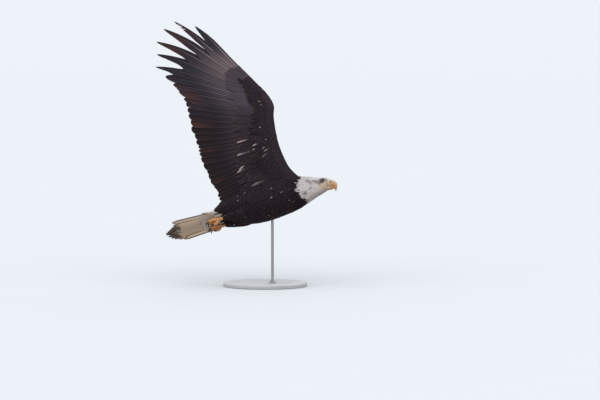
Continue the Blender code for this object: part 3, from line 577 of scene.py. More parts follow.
def flight_feather(point, root, tip, widths, begins, roll, number, mark, map_row, map_rows, splits=(),
                   rows=40, shaft=0.0013, sag=0.0, arch=0.0):
    """One long feather as a closed vane. Down its shaft, rows slant out to both edges along the barbs;
    the place where a row meets the edge is found by reading the edge curve backwards. The section is a
    thin lens with the shaft's ridge in it, tilted by the roll so that its front edge lies above its
    neighbour. The shaft sags back by a sine a third of the way along and arches forward by another two
    thirds along. A split is (place, depth, side, width)."""
    root, tip = np.asarray(root, float), np.asarray(tip, float)
    reach = tip - root
    length = np.linalg.norm(reach)
    ahead = reach / length
    forward = np.array((-ahead[1], ahead[0]))
    dense = np.linspace(begins - 0.15, 1.0, 700)
    q = np.linspace(0, 1, rows)
    t = begins + (0.9985 - begins) * (1 - (1 - q) ** 1.35)
    for at, _, _, wide in splits:
        t = np.concatenate([t, (at - 2 * wide, at - 0.6 * wide, at + 0.6 * wide, at + 2 * wide)])
    t = np.sort(t)
    edges = []
    for step, width in zip((-1, 1), widths):
        full = np.maximum(width(dense), 0.0004)
        meets = np.maximum.accumulate(dense - BARB_SLANT * full / length) + 1e-9 * np.arange(dense.size)
        out = np.interp(t, meets, dense)
        reach_out = np.interp(out, dense, full)
        kept = np.ones_like(t)
        for at, deep, side, wide in splits:
            if side == step:
                kept = np.minimum(kept, 1 - deep * (np.abs(t - at) < wide))
        edges.append((out, reach_out, kept))
    sides = ((-1, np.array((1.0, 0.78, 0.5, 0.22))), (1, np.array((0.3, 0.65, 1.0))))
    ridge = shaft * (1 - t) ** 0.75 + 0.00025
    columns = []
    for (step, shares), (out, wide, kept) in zip(sides, edges):
        share = shares[None, :] * kept[:, None]
        edge = pack(t[:, None] + share * (out - t)[:, None], step * share * wide[:, None], step * shares)
        by_shaft = pack(t[:, None], step * np.minimum(ridge, 0.2 * wide)[:, None], step * 0.02)
        columns += [edge, by_shaft, pack(t[:, None], -0.0, -0.0)] if step < 0 else [by_shaft, edge]
    x, y, v = np.moveaxis(np.hstack(columns), -1, 0)
    vane_thick = VANE_THICK * (1 - 0.5 * t)[:, None] * (1 - v**4)
    spine = np.exp(-((y / np.maximum(ridge, 1e-5)[:, None]) ** 2) * 1.2) * ridge[:, None]
    middle = roll * y - 0.1 * np.abs(y) ** 1.5 * (1 - smooth((t[:, None] - 0.75) / 0.25))
    top = middle + vane_thick / 2 + 0.45 * spine
    under = middle - vane_thick / 2 - 0.9 * spine
    inside = slice(1, x.shape[1] - 1)
    pairs = ((x, x), (y, y), (top, under), (v, v))
    x, y, rise, v = (np.hstack([grid, back[:, inside][:, ::-1]]) for grid, back in pairs)
    far = np.clip(x, 0, 1)
    aside = y - sag * np.sin(math.pi * far**0.65) + arch * np.sin(math.pi * far**2.0)
    plan = root + ahead * (x * length)[..., None] + forward * aside[..., None]
    points = point(plan[..., 0], plan[..., 1], rise)
    barb = np.broadcast_to(t[:, None], x.shape) * length
    vane = pack(x, v, np.full(x.shape, number))
    place = pack(barb, y, np.full(x.shape, number * 7.3))
    strip = pack(0.02 + 0.96 * x.clip(0, 1), (map_row + 0.5 + 0.42 * v) / map_rows)
    marks = np.broadcast_to(mark, (*x.shape, 3))
    return closed_form(points, vane=vane, place=place, mark=marks, bake=strip)


def wing_widths(roots, tips, j):
    """How wide feather j's rear and front vanes are along it, as functions of the share t along its
    shaft. A finger's vane is its own width plus a swell that ends at its slot, held to a share of the
    room before its neighbour; an inner feather fills the room. All narrow to the tip as a power of what
    is left."""
    root, reach = roots[j], tips[j] - roots[j]
    ahead = reach / np.linalg.norm(reach)
    forward = np.array((-ahead[1], ahead[0]))
    last = len(roots) - 1

    def room(k, t):
        other = roots[k] + (tips[k] - roots[k]) * t[:, None]
        return np.abs((other - root - reach * t[:, None]) @ forward)

    def taper(t):
        inner = PRIMARY_POINT if j < PRIMARIES else SECONDARY_POINT
        share, form = FINGER_POINT if j < FINGERS else inner
        return np.clip((1 - t) / share, 0, 1) ** form

    def finger(t, step, limit):
        slot = FINGER_SLOTS[max(j + min(step, 0), 0)] if j or step > 0 else 0.0
        return (limit + FINGER_FULL * (1 - smooth((t - slot) / SLOT_EASE + 1))) * taper(t)

    def rear(t):
        if j < FINGERS:
            return np.minimum(finger(t, 1, FINGER_TRAILS[j]), 0.96 * room(j + 1, t))
        beyond = 0.93 * room(j + 1, t) if j < last else np.full(t.shape, 0.016)
        return np.maximum(beyond, 0.007) * taper(t)

    def front(t):
        if j < FINGERS:
            wide = finger(t, -1, FINGER_LEADS[j])
            return np.minimum(wide, 0.55 * room(j - 1, t)) if j else wide
        return np.maximum(0.55 * room(j - 1, t), 0.005) * taper(t)

    return rear, front


def leaves_coverts(side, root, tip):
    """The share of a flight feather's length at which it comes out from under the coverts."""
    t = np.linspace(0.0, 1, 800)
    line = root + (tip - root) * t[:, None]
    behind = (line[:, 1] < arm_edges(side, line[:, 0])[1]) | (line[:, 0] > HAND_SPAN)
    hidden = np.nonzero(~behind)[0]
    return t[hidden.max()] if hidden.size else 0.0


def barb_heading(side, places):
    """The way that feathers lie at (span, chord) places: the flight feathers' own, weighed by nearness."""
    roots, tips = flight_shafts(side)
    ahead = unit(tips - roots)
    forward = pack(-ahead[:, 1], ahead[:, 0])
    off = np.einsum("nkj,kj->nk", places[:, None] - roots[None], forward)
    weight = bell(off, 0.0, 0.018) + 1e-9 / (1e-4 + off**2)
    return unit((weight[:, :, None] * ahead[None]).sum(1))


# ---- where the coat changes ----

# The back edge of the white hood: degrees down from the crown, station
HOOD_EDGE = ((0, 6.1), (34, 6.02), (68, 5.7), (93, 5.33), (109, 5.24), (127, 5.34), (148, 5.85),
             (165, 6.12), (180, 6.25))
# Where the dark rump feathers end and the white tail coverts begin
RUMP_EDGE = ((0, -0.28), (60, -0.4), (90, -0.34), (130, -0.55), (180, -0.65))
# Dusky smudges and cream skin on the head, and pale flecks on the flank: station, degrees down, size
DUSKY_SPOTS = ((6.75, 72, 0.8), (7.23, 84, 0.9), (7.7, 74, 0.8), (8.1, 77, 0.9), (8.6, 84, 1.1),
               (8.9, 76, 1.0), (9.15, 72, 1.2), (9.75, 68, 0.9), (10.25, 64, 0.8), (10.7, 62, 0.6),
               (6.1, 128, 0.7), (6.95, 112, 0.5))
CREAM_SPOTS = ((9.75, 104, 1.5), (9.0, 106, 1.2), (10.4, 100, 1.6), (10.7, 122, 1.6), (10.1, 132, 1.2))
FLANK_FLECKS = ((3.26, 110), (2.62, 122), (1.52, 62), (1.04, 164), (1.92, 87))
# Pale flecks under the wing: span, chord
WING_FLECKS = ((0.226, -0.084), (0.205, -0.045), (0.201, -0.031), (0.157, -0.103), (0.119, -0.129),
               (0.092, -0.126), (0.077, -0.144), (0.203, 0.043), (0.168, 0.024), (0.151, 0.034),
               (0.138, 0.025), (0.083, 0.029), (0.031, 0.016), (-0.005, 0.007), (0.399, 0.072),
               (0.344, 0.051), (0.264, 0.01), (0.376, 0.07))

# The coat down the body, by station: row spacing and feather half width
EXPOSURE = ((-2.0, 0.014), (0.0, 0.0115), (3.0, 0.0115), (4.4, 0.0086), (5.2, 0.0058), (6.2, 0.005),
            (7.2, 0.0043), (8.2, 0.0036), (9.2, 0.0027), (10.2, 0.002), (11.0, 0.0015))
HALF_WIDTH = ((-2.0, 0.012), (0.0, 0.0105), (3.0, 0.0105), (4.4, 0.007), (5.2, 0.0033), (6.2, 0.0029),
              (7.2, 0.0027), (8.2, 0.0025), (9.2, 0.0019), (10.2, 0.0014), (11.0, 0.001))
# How far back from the leading edge the tips of the coverts lie: the greater ones as a share of the arm, the
# rows before them as shares of the second row's own
GREATER_SHARE, COVERT_SHARES = 1.03, (1.0, 0.8, 0.64, 0.51, 0.4, 0.31, 0.235, 0.17, 0.115, 0.07, 0.03)
# How far apart the coverts of a row stand, from the greater ones at the rear edge forward
COVERT_GAPS = (0.0125, 0.0115, 0.0105, 0.0095, 0.009, 0.0085, 0.008, 0.0075, 0.007, 0.0065, 0.006,
               0.0055)


def read(table, at):
    """A table of (place, value) rows read at places between them."""
    rows = np.array(table, float)
    return np.interp(at, rows[:, 0], rows[:, 1])


def down(angle):
    """Degrees down from the crown or the back, alike on both sides."""
    return np.degrees(np.arccos(np.clip(np.sin(angle), -1, 1)))


def metres_per_station(station, angle):
    """How far a step of one station goes along the body's surface."""
    step = body_chart(station + 0.01, angle, 0.0) - body_chart(station - 0.01, angle, 0.0)
    return np.linalg.norm(step, axis=-1) / 0.02


def eye_centre(side):
    """The middle of an eyeball."""
    return head_to_bird((EYE_AT[0], side * EYE_AT[1], EYE_AT[2]))


def body_roots(first, last, closeness, seed):
    """Roots down the body in staggered rows, jittered: stations, angles, exposure and half width in
    metres."""
    rng = default_rng(seed)

    def gap(station):
        return read(EXPOSURE, station) / metres_per_station(station, 0.5)

    rows = []
    for number, station in enumerate(spread(first, last, lambda place: closeness * gap(place))):
        _, _, _, half, above, below = along(BODY_STATIONS, station + RUMP_ROWS)
        wide = read(HALF_WIDTH, station) * closeness
        around = math.pi * (half + 0.5 * (above + below))
        count = max(int(around / (1.18 * wide)), 8)
        angle = (np.arange(count) + 0.5 * (number % 2)) * 2 * math.pi / count
        angle = angle + rng.normal(size=count) * 0.18 * 2 * math.pi / count
        jitter = station + rng.normal(size=count) * 0.14 * gap(station)
        rows.append(pack(jitter, angle))
    roots = np.vstack(rows)
    roots[:, 0] = np.clip(roots[:, 0], first, 10.97)
    return roots, read(EXPOSURE, roots[:, 0]) * closeness, read(HALF_WIDTH, roots[:, 0]) * closeness


def body_markings(station, angle, rng=None):
    """How dusky, how cream and how white the coat or the skin is at (station, angle). The dusk holds real
    smudges and also painted shade on the underside of the head and neck.
    """
    fallen = down(angle)
    white = (station > read(HOOD_EDGE, fallen)) | (station < read(RUMP_EDGE, fallen))
    scaled = fallen / 36.0
    dusky = near(station, scaled, [(s, d / 36.0, size * 0.9) for s, d, size in DUSKY_SPOTS], 0.36)
    cream = near(station, scaled, [(s, d / 36.0, size) for s, d, size in CREAM_SPOTS], 0.42)
    # painted shade: the underside of the head and neck darkens toward the throat
    throat = 0.45 * smooth((fallen - 125) / 40) * smooth((station - 6.0) / 1.5)
    brow = 0.25 * smooth((station - 10.2) / 0.6) * (fallen < 60)
    vent = smooth((fallen - 80) / 30) * (station < 0.5)
    cream = np.maximum(cream, 0.34 * vent)
    dusky = np.maximum(dusky, throat) + brow + 0.16 * vent
    if rng is not None:
        dusky = dusky + 0.55 * (rng.random(station.shape) < 0.05) * (station > 5) * (station < 8.5)
    return np.clip(dusky, 0, 1), np.clip(cream, 0, 1), white.astype(float)


def picked(places, spots):
    """1 for the feather nearest to each spot, 0 for the rest."""
    chosen = np.zeros(len(places))
    off = np.linalg.norm(places[:, None] - np.asarray(spots, float)[None], axis=2)
    chosen[off.argmin(axis=0)] = 1.0
    return chosen


def body_coat(first, last, closeness, seed, fine, form):
    """The coat from one station to another: contour feathers on the trunk, lances on the neck, scales of
    down on the face. They lie back along the body, part round the eye, and keep off it and the bill."""
    roots, exposure, half = body_roots(first, last, closeness, seed)
    rng = default_rng(seed + 50)
    station, angle = roots.T
    spot = body_chart(station, angle, 0.0)
    keep = np.ones(len(roots), bool)
    way = pack(-np.ones(len(roots)), 0.0)
    for side in (-1, 1):
        off = spot - eye_centre(side)
        away = np.linalg.norm(off, axis=1)
        keep &= away > EYE_RADIUS + 0.0016
        parting = bell(away, 0.0, 0.02) * (np.sin(angle) - 0.12)
        way[:, 1] += 4.0 * parting * np.sign(np.cos(angle)) * (np.sign(np.cos(angle)) == side)
    length = exposure * np.interp(station, (-2, -1, 0, 4.5, 6, 8, 11), (1.6, 2.2, 3.2, 3.2, 4.0, 3.6, 3.0))
    length = length * (1 + 0.5 * smooth((down(angle) - 95) / 35) * (station < 1.0))
    roots, way, length, half, station, angle = (k[keep] for k in (roots, way, length, half, station, angle))
    tip = station - 0.85 * length / metres_per_station(station, angle)
    tip = tip + rng.normal(size=len(tip)) * np.where(station > 4, 0.12, 0.07)
    dusky, cream, white = body_markings(tip, angle, rng)
    flecks = [(s, d / 36.0) for s, d in FLANK_FLECKS]
    fleck = picked(pack(tip + 0.15, down(angle) / 36.0), flecks) if first < 1 else 0 * tip
    fleck = np.maximum(fleck, 0.6 * (rng.random(len(tip)) < 0.012) * (1 - white))
    mark = pack(np.where(white > 0, dusky, fleck), cream, white)
    depth = np.interp(station, COAT_AT, COAT_DEPTH) * 0.8
    lift = np.interp(station, (-2, 0, 5, 7, 9, 11), (0.0016, 0.0022, 0.0022, 0.0014, 0.0007, 0.0004))
    bounds = ((-2.2, FACE_STATION), (-0.3, 6.6))
    return lay_feathers(body_chart, roots, way, length, half, seed, mark, bounds, lift, depth, form,
                        cup=0.13, turn=6.0 if fine else 9.0, fine=fine)


def covert_rows(side, face):
    """Where the coverts of one wing face grow: rows that follow the arm from its rear edge to its leading
    edge, each row's tips spaced evenly along it. The greater coverts are long, and reach further forward on
    the hand. Gives tips, ways, lengths, half widths and row numbers."""
    rng = default_rng(31 + face + 5 * side)
    spans = np.linspace(-0.016, 0.594, 900)
    lead, rear = arm_edges(side, spans)
    hand = smooth((spans - 0.3) / 0.11)
    outer = smooth((spans - 0.44) / 0.09)
    second = (0.66 - 0.13 * hand - 0.14 * outer) if face < 0 else (0.62 - 0.1 * hand)
    shares = [GREATER_SHARE + 0 * spans] + [second * share for share in COVERT_SHARES] + [0 * spans]
    found = []
    for rank, gap in enumerate(COVERT_GAPS):
        row = pack(spans, lead + (rear - lead) * shares[rank])
        arc = np.concatenate([[0], np.cumsum(np.linalg.norm(np.diff(row, axis=0), axis=1))])
        at = np.arange(0.5 * (rank % 2) * gap, arc[-1], gap)
        at = at + rng.normal(size=len(at)) * 0.15 * gap
        tip = np.stack([np.interp(at, arc, row[:, k]) for k in (0, 1)], axis=1)
        chord = np.interp(tip[:, 0], spans, lead - rear)
        here, after = (np.interp(tip[:, 0], spans, shares[k]) for k in (rank, rank + 1))
        way = barb_heading(side, tip)
        length = (1.22 if rank == 0 else 2.5) * (here - after) * chord + (0.01 if rank == 0 else 0.004)
        length = length / np.clip(-way[:, 1], 0.5, 1.0)
        room = (here * chord + 0.002) / np.maximum(-way[:, 1], 0.45)
        length = np.minimum(length, np.maximum(room, 0.006))
        half = 0.64 * gap * (1 + (rank == 0) * (0.2 + 0.55 * (tip[:, 0] > 0.33)))
        tip = tip + way * rng.normal(size=(len(tip), 1)) * 0.06 * length[:, None]
        found.append((tip, way, length, half, np.full(len(tip), rank)))
    return [np.concatenate(column) for column in zip(*found)]


def wing_markings(face, tip, rank, rng):
    """Pale flecks, how light and how rufous each covert is. The greater primary coverts are light below."""
    hand = smooth((tip[:, 0] - 0.37) / 0.03)
    if face < 0:
        outward = smooth((tip[:, 0] - 0.2) / 0.15)
        edge = 0.12 + 0.25 * bell(tip[:, 0], 0.385, 0.045)
        light = np.where(rank == 0, 0.1 + 0.2 * outward + 0.7 * hand, np.where(rank > 5, edge, 0.0))
    else:
        light = np.where(rank == 0, 0.15, 0.05)
    light = light + 0.1 * rng.random(len(rank))
    light = np.where((tip[:, 0] > 0.532) & (face < 0), 0.9, light)
    if face < 0:
        fleck = picked(tip + np.array((0.0, 0.008)), WING_FLECKS)
    else:
        fleck = (rng.random(len(rank)) < 0.006) * 0.5
    rufous = 0.4 * (rng.random(len(rank)) < 0.1)
    return pack(fleck, light, rufous)


def wing_coat(side, face):
    """All the coverts of one wing face, with the axillaries below or the scapulars above at its root."""
    chart = wing_chart(side, face)
    tip, way, length, half, rank = covert_rows(side, face)
    rng = default_rng(71 + face)
    mark = wing_markings(face, tip, rank, rng)
    roots = tip - way * length[:, None]
    roots[:, 1] = np.minimum(roots[:, 1], arm_edges(side, roots[:, 0])[0] - 0.005)
    lift = np.select([rank == 0, rank == 1, rank < 8], [0.0024, 0.0022, 0.001], 0.0004)
    bounds = ((-0.1, 0.65), (-0.2, 0.2))
    made = [lay_feathers(chart, roots, way, length, half, 200 + face + side, mark, bounds, lift, WING_COAT,
                         cup=0.09, turn=4.0)]
    count = 9 if face < 0 else 14
    place = np.linspace(0, 1, count)
    if face < 0:
        roots = pack(0.004 + 0.06 * place**1.2, 0.055 - 0.05 * place)
        way = pack(0.02 + 0.1 * place, -np.ones(count))
        length, half = 0.128 - 0.02 * place, 0.0135
    else:
        roots = pack(0.055 * place, 0.1 - 0.11 * place + 0.015 * (np.arange(count) % 3))
        way = pack(0.1 + 0.15 * place, -np.ones(count))
        length, half = 0.07 + 0.025 * place, 0.0145
    mark = pack(0.35 * (face < 0) * (np.arange(count) < 2), 0.1, 0.0)
    made.append(lay_feathers(chart, roots, way, length, half, 300 + face, mark, bounds, 0.0052, 0.003,
                             cup=0.12, turn=3.0))
    return joined(made)


# Rows of tail coverts: how far back their tips reach, how many they are and how far out they go
TAIL_COVERT_ROWS = ((0.106, 9, 0.064), (0.09, 10, 0.064), (0.072, 9, 0.06))


# How far back the coverts' surface is given, its half widths there, and its heights above and below
TAIL_COVERTS_AT, TAIL_COVERTS_WIDE = (0.02, 0.05, 0.095, 0.14), (0.061, 0.071, 0.081, 0.088)
TAIL_COVERTS_HIGH = {1: (0.04, 0.026, 0.008, 0.003), -1: (0.01, 0.0085, 0.0065, 0.003)}


def tail_covert_chart(face):
    """The chart of the coverts over or under the tail's base: its numbers are back and out. Their surface is
    the tail's plane with a height read off a table and domed across as a half ellipse."""

    def chart(back, out, lift):
        high = np.interp(back, TAIL_COVERTS_AT, TAIL_COVERTS_HIGH[face])
        wide = np.interp(back, TAIL_COVERTS_AT, TAIL_COVERTS_WIDE)
        dome = np.sqrt(np.clip(1 - (out / wide) ** 2, 0.02, 1))
        return tail_chart(back, out, face * (high * dome + lift))

    return chart


def tail_coverts():
    """White coverts over and under the tail's base, in three rows across it."""
    rng = default_rng(140)
    made = []
    for face in (1, -1):
        for row, (tip_back, count, width) in enumerate(TAIL_COVERT_ROWS):
            width = width if face > 0 else 0.76 * width
            out = np.linspace(-width, width, count) + rng.normal(size=count) * 0.002
            tips = tip_back * (1.0 if face > 0 else 0.9) - 0.2 * np.abs(out)
            tips = tips + rng.normal(size=count) * 0.004
            length = 0.062 if face > 0 else 0.058
            roots = pack(tips - length, out * 0.93)
            way = pack(np.ones(count), out * (1.2 if face > 0 else 3.0))
            mark = np.tile((0.0, 0.22, 1.0) if face > 0 else (0.16, 0.34, 1.0), (count, 1))
            made.append(lay_feathers(
                tail_covert_chart(face), roots, way, length, 0.0125, 150 + row + face, mark,
                ((-0.05, 0.15), (-0.09, 0.09)), 0.0008 + 0.0012 * row, cup=0.06, turn=4.0))
    return joined(made)


def thigh_coat(side):
    """The trousers: feathers lying back along the thigh, shortening toward its end over the foot and longer
    on its upper side.
    """
    rng = default_rng(90 + side)
    chart = thigh_chart(side)
    rows, around = 15, 16
    count = rows * around
    place = np.repeat(np.linspace(0.5, 2.72, rows), around)
    angle = np.tile(turns(around), rows) + rng.normal(size=count) * 0.06
    angle = angle + np.repeat(np.arange(rows) % 2, around) * math.pi / around
    length = np.interp(place, (0.5, 2.0, 2.72), (0.036, 0.03, 0.017))
    above = unit(chart(place, angle, 0.002) - chart(place, angle, 0.0))[:, 2]
    length = length * (1 + (0.9 if side > 0 else 0.15) * smooth(above * 2))
    half = np.interp(place, (0.5, 2.0, 2.72), (0.009, 0.0078, 0.0048))
    mark = pack(0.7 * (rng.random(count) < 0.02), 0.0, 0.0)
    return lay_feathers(chart, pack(place, angle), pack(np.ones(count), 0.0), length, half, 95 + side, mark,
                        ((0, 3), (-0.5, 6.8)), 0.0012, 0.005)


def wing_feather_marks(j, rng):
    """How pale the base, how rufous the tip and how slate-blue flight feather j is."""
    if j < PRIMARIES:
        pale = (1.0, 1.0, 0.9, 0.72, 0.58, 0.52, 0.55, 0.5, 0.44, 0.38)[j]
        rufous = (0.1, 0.65, 0.75, 0.8, 0.1, 0.15, 0.2, 0.45, 0.9, 0.55)[j]
        blue = (0.9, 0.2, 0.1, 0.1, 0.8, 0.9, 0.9, 0.6, 0.2, 0.4)[j]
    else:
        k = j - PRIMARIES
        pale = 0.28 * (1 - k / SECONDARIES)
        rufous = {3: 0.9, 8: 0.6, 14: 0.6}.get(k, 0.3 * rng.random())
        blue = 0.7 * rng.random() * (1 - 0.6 * rufous)
    return np.array((pale, rufous, blue))


def raised(chart, level):
    """A chart whose surface is lifted by the level."""

    def lifted(a, b, rise):
        return chart(a, b, rise + level)

    return lifted


def blade(width, point, form, waist, swell):
    """How wide a vane is along its shaft: it swells from its waist over a first part, and narrows over its
    point as a power of what is left."""

    def wide(t):
        return width * (np.clip((1 - t) / point, 0, 1) ** form * (waist + (1 - waist) * smooth(t / swell)))

    return wide


def flight_set(side, first, last):
    """Flight feathers first to last of one wing; every third one has a split in its rear vane, and the
    second primary a torn tip.
    """
    roots, tips = flight_shafts(side)
    made = []
    for j in range(first, last):
        rng = default_rng(400 + j)
        leaves = leaves_coverts(side, roots[j], tips[j])
        length = np.linalg.norm(tips[j] - roots[j])
        begins = max(leaves - 0.045 / length, 0.02)
        splits = [(rng.uniform(0.85, 0.95), rng.uniform(0.15, 0.35), -1, 0.0016)] if j % 3 == 1 else []
        if j == 1:
            splits = [(at, deep, -1, wide) for at, deep, wide in TORN_TIP]
        made.append(flight_feather(
            partial(wing_point, side), roots[j], tips[j], wing_widths(roots, tips, j), begins, 0.075,
            number=j / 30.0, mark=wing_feather_marks(j, rng), map_row=j - first, map_rows=last - first,
            splits=splits, rows=40 if j < FINGERS else 26, shaft=0.0019 if j < PRIMARIES else 0.0013,
            sag=np.interp(j, (0, 2, 9, 14), (0.002, 0.006, 0.008, 0.003)),
            arch=np.interp(j, range(9), FINGER_ARCHES)))
    return joined(made)


def alula_set(side):
    """The thumb's four feathers, lying on the hand behind its leading edge, longest outermost."""
    made = []
    root, tip = np.array(ALULA_ROOT), np.array(ALULA_TIP)
    rear, front = (blade(width, 0.28, 0.55, 0.45, 0.25) for width in (0.0105, 0.00525))
    for k in range(4):
        start = root + np.array((-0.006, 0.002)) * k
        end = start + (tip - root) * (1.0 - 0.17 * k) + np.array((-0.004, -0.01)) * k
        begin, finish = (p + np.array((0.0, float(bend(side, p[0])))) for p in (start, end))
        made.append(flight_feather(
            raised(wing_chart(side, 1), 0.003 + 0.0012 * k), begin, finish, (rear, front), 0.0, 0.05,
            number=0.1 * k, mark=np.array((0.0, 0.1, 0.4)), map_row=k, map_rows=4, rows=18, shaft=0.001))
    return joined(made)


def tail_marks(i):
    """How dark the tip is, how dark the outer edge, and how grey the vane, of tail feather i."""
    tip = (0.25, 0.55, 0.85, 1.0, 1.0, 1.0, 1.0, 1.0, 0.9, 0.7, 0.45, 0.3)[i]
    edge = (1.0, 0.35, 0.2, 0.1, 0.05, 0.0, 0.0, 0.05, 0.1, 0.25, 0.8, 1.0)[i]
    grey = (0.0, 0.1, 0.4, 0.75, 0.95, 1.0, 1.0, 0.95, 0.85, 0.5, 0.1, 0.0)[i]
    return np.array((tip, edge, grey))


def tail_set():
    """The twelve tail feathers, a narrow fan: the middle pair on top, each one out from it a little
    lower."""
    made = []
    for i, tip in enumerate(TAIL_TIPS):
        out = TAIL_ROOT_HALF * (2 * i / 11.0 - 1)
        rng = default_rng(500 + i)
        vanes = OUTER_TAIL_VANES if i in (0, 11) else TAIL_VANES
        widths = [blade(width, 0.11, 0.5, 0.55, 0.6) for width in vanes]
        side = -1 if i < 6 else 1
        splits = [(at, rng.uniform(0.4, 0.8), -side, 0.002) for at in rng.uniform(0.7, 0.95, 1)]
        if 2 <= i <= 9:
            splits += [(0.962, 0.7, side, 0.004), (0.984, 0.8, -side, 0.004)]
        made.append(flight_feather(
            raised(tail_chart, 0.003 - 0.0011 * abs(i - 5.5)), (0.0, out), tip, widths[::-side], 0.16,
            -0.02 * side, number=i / 12.0, mark=tail_marks(i), map_row=i, map_rows=12, splits=splits,
            rows=34))
        layers = made[-1]["layers"]
        layers["vane"] = layers["vane"] * (1, -side, 1)  # across is positive on the inner vane
    return joined(made)


# ---- skin, bill, eyes and legs ----


def tube_rings(path, radii, count, sides, shape=None):
    """Round rings square to a curve through points: centre + radius (cos a, sin a). The shape, a function of
    (share along, angle), scales the radius."""
    at = np.linspace(0, len(path) - 1, count)
    radius = along(np.asarray(radii, float)[:, None], np.linspace(0, len(radii) - 1, count))[:, None]
    centre, ahead = along(path, at), unit(along(path, at + 0.01) - along(path, at - 0.01))
    across = unit(np.cross(ahead, (0.0, 1.0, 0.05)))
    other = np.cross(ahead, across)
    angle = turns(sides)
    if shape is not None:
        radius = radius * shape(np.linspace(0, 1, count)[:, None], angle[None])[..., None]
    return centre[:, None] + radius * swung(angle[None], across[:, None], other[:, None])


def united(name, sets):
    """One set from several overlapping closed forms: an exact Boolean union, with no faces left inside."""
    helpers = []
    for one in sets:
        mesh = bpy.data.meshes.new("helper")
        faces = [tuple(face) for group in one["faces"] for face in group.tolist()]
        mesh.from_pydata(one["points"].tolist(), [], faces)
        helpers.append(new_object("helper", mesh))
    for other in helpers[1:]:
        join = helpers[0].modifiers.new("join", "BOOLEAN")
        join.operation, join.solver, join.object = "UNION", "EXACT", other
    bpy.context.view_layer.update()
    result = bpy.data.meshes.new_from_object(helpers[0].evaluated_get(bpy.context.evaluated_depsgraph_get()))
    points = np.zeros(len(result.vertices) * 3)
    result.vertices.foreach_get("co", points)
    result.calc_loop_triangles()
    faces = np.zeros(len(result.loop_triangles) * 3, int)
    result.loop_triangles.foreach_get("vertices", faces)
    for helper in helpers:
        bpy.data.objects.remove(helper)
    if not len(faces):
        raise RuntimeError(f"the union for {name} came out empty")
    return {"points": points.reshape(-1, 3), "faces": [faces.reshape(-1, 3)], "layers": {}}


def body_skin():
    """The body's own skin: the body chart sunk by the coat's depth, with slight folds across the throat."""
    station = np.concatenate([np.linspace(-1.15, 5, 40), np.linspace(5.1, 11.0, 60)])[:, None]
    angle = turns(72)[None]
    depth = np.interp(station, COAT_AT, COAT_DEPTH)
    fold = 0.0006 * np.sin(station * 21.0) * np.clip(-np.sin(angle), 0, 1) * smooth((station - 6) / 1.0)
    points = body_chart(station, angle, -depth + fold)
    middle = points.mean(axis=1, keepdims=True)
    drawn_in = 0.7 * smooth((-0.35 - station) / 0.8) ** 2
    return closed_form(points + (middle - points) * drawn_in[..., None])


def wing_skin(side):
    """A wing's flesh: both faces of the arm sunk by the coat's depth, from the leading edge to where only
    quills go on, and thinning to the hand's tip."""
    spans = np.linspace(ARM_START, 0.575, 40)[:, None]
    back = 0.6 * np.linspace(0, 1, 16) ** 1.4
    share = np.concatenate([0.015 + back, 0.615 - back])
    share = np.clip(share, 0.012, 0.6)[None]
    upper = (np.arange(32) < 16)[None]
    lead, rear = arm_edges(side, spans)
    thick = np.maximum(arm_thickness(spans, share) - 2 * WING_COAT, 0.001)
    offset = (ABOVE_SHARE - 0.5) * arm_thickness(spans, share)
    rise = offset + np.where(upper, thick / 2, -thick / 2)
    chord = lead + (rear - lead) * share
    return closed_form(wing_point(side, spans, chord, rise))


def thigh_skin(side):
    """A thigh, sunk by its coat's depth."""
    place = np.linspace(0, 2.98, 18)[:, None]
    angle = turns(24)[None]
    return closed_form(thigh_chart(side)(place, angle, -0.0045 + 0.0025 * smooth((place - 2) / 1)))


def eye_frame(side):
    """The eye's centre and three ways from it: out of the socket, forward along the lids, and up."""
    centre = eye_centre(side)
    origin = head_to_bird((0.0, 0.0, 0.0))
    out = unit(head_to_bird((0.3, side * 0.95, 0.02)) - origin)
    forward = head_to_bird((1.0, 0.0, 0.0)) - origin
    forward = unit(forward - out * np.dot(forward, out))
    up = np.cross(out, forward) * (-side)
    return centre, out, forward, up if up[2] > 0 else -up


def lids(side):
    """The lids: a ring over the eyeball from an almond opening to under the face, thick at its lip. Its
    inner edge is nearer the eye's axis above and below than fore and aft, as a cosine of twice the
    turn."""
    centre, out, forward, up = eye_frame(side)
    turn = turns(40)[:, None]
    opening = 0.68 + 0.13 * np.cos(2 * turn) - 0.1 * np.sin(turn)
    section = turns(10)[None]
    fall = opening + 0.42 * (0.5 - 0.5 * np.cos(section))
    lip = 1 + 0.9 * bell(fall, opening, 0.12)
    radius = EYE_RADIUS + 0.0005 + 0.0006 * np.sin(section) * lip
    flat = radius * np.sin(fall)
    point = radius * np.cos(fall)
    rings = centre + point[..., None] * out + flat[..., None] * swung(turn, forward, up)
    rows, sides = rings.shape[:2]
    return stacked(rings.reshape(1, -1, 3), [ring_quads(rows, sides, rows)])


def gape(side):
    """The fleshy corner of the mouth, a low fold from the bill's base back along the cheek."""
    station = np.linspace(11.0, 9.7, 14)
    angle = np.radians(90 - side * np.linspace(131, 116, 14))
    path = body_chart(station, angle, np.linspace(-0.001, -0.0022, 14))
    return closed_form(tube_rings(path, (0.0016, 0.0015, 0.0012, 0.0008), 14, 8))


def brow(side):
    """The bony ridge that overhangs the eye, from the lores back: a tube along a low arch."""
    centre, out, forward, up = eye_frame(side)
    arch = ((0.02, 0.003, 0.002), (0.012, 0.0084, 0.0072), (0.002, 0.01, 0.0086),
            (-0.008, 0.0098, 0.006), (-0.017, 0.008, 0.001))
    path = np.array([centre + forward * x + out * y + up * z for x, z, y in arch])
    return closed_form(tube_rings(path, (0.0008, 0.0022, 0.0027, 0.0022, 0.0008), 20, 12))


def ball_set(side):
    """An eyeball whose pole looks out of the socket, its clear front swelling a little over the iris."""
    centre, out, forward, up = eye_frame(side)
    fall = np.linspace(0.02, math.pi - 0.02, 36)[:, None]
    turn = turns(48)[None]
    radius = EYE_RADIUS * (1 + 0.05 * bell(fall, 0.0, 0.55))
    points = centre + radius[..., None] * swung(fall, out, swung(turn, forward, up))
    return closed_form(points, place=pack(fall, np.cos(turn), np.sin(turn)))


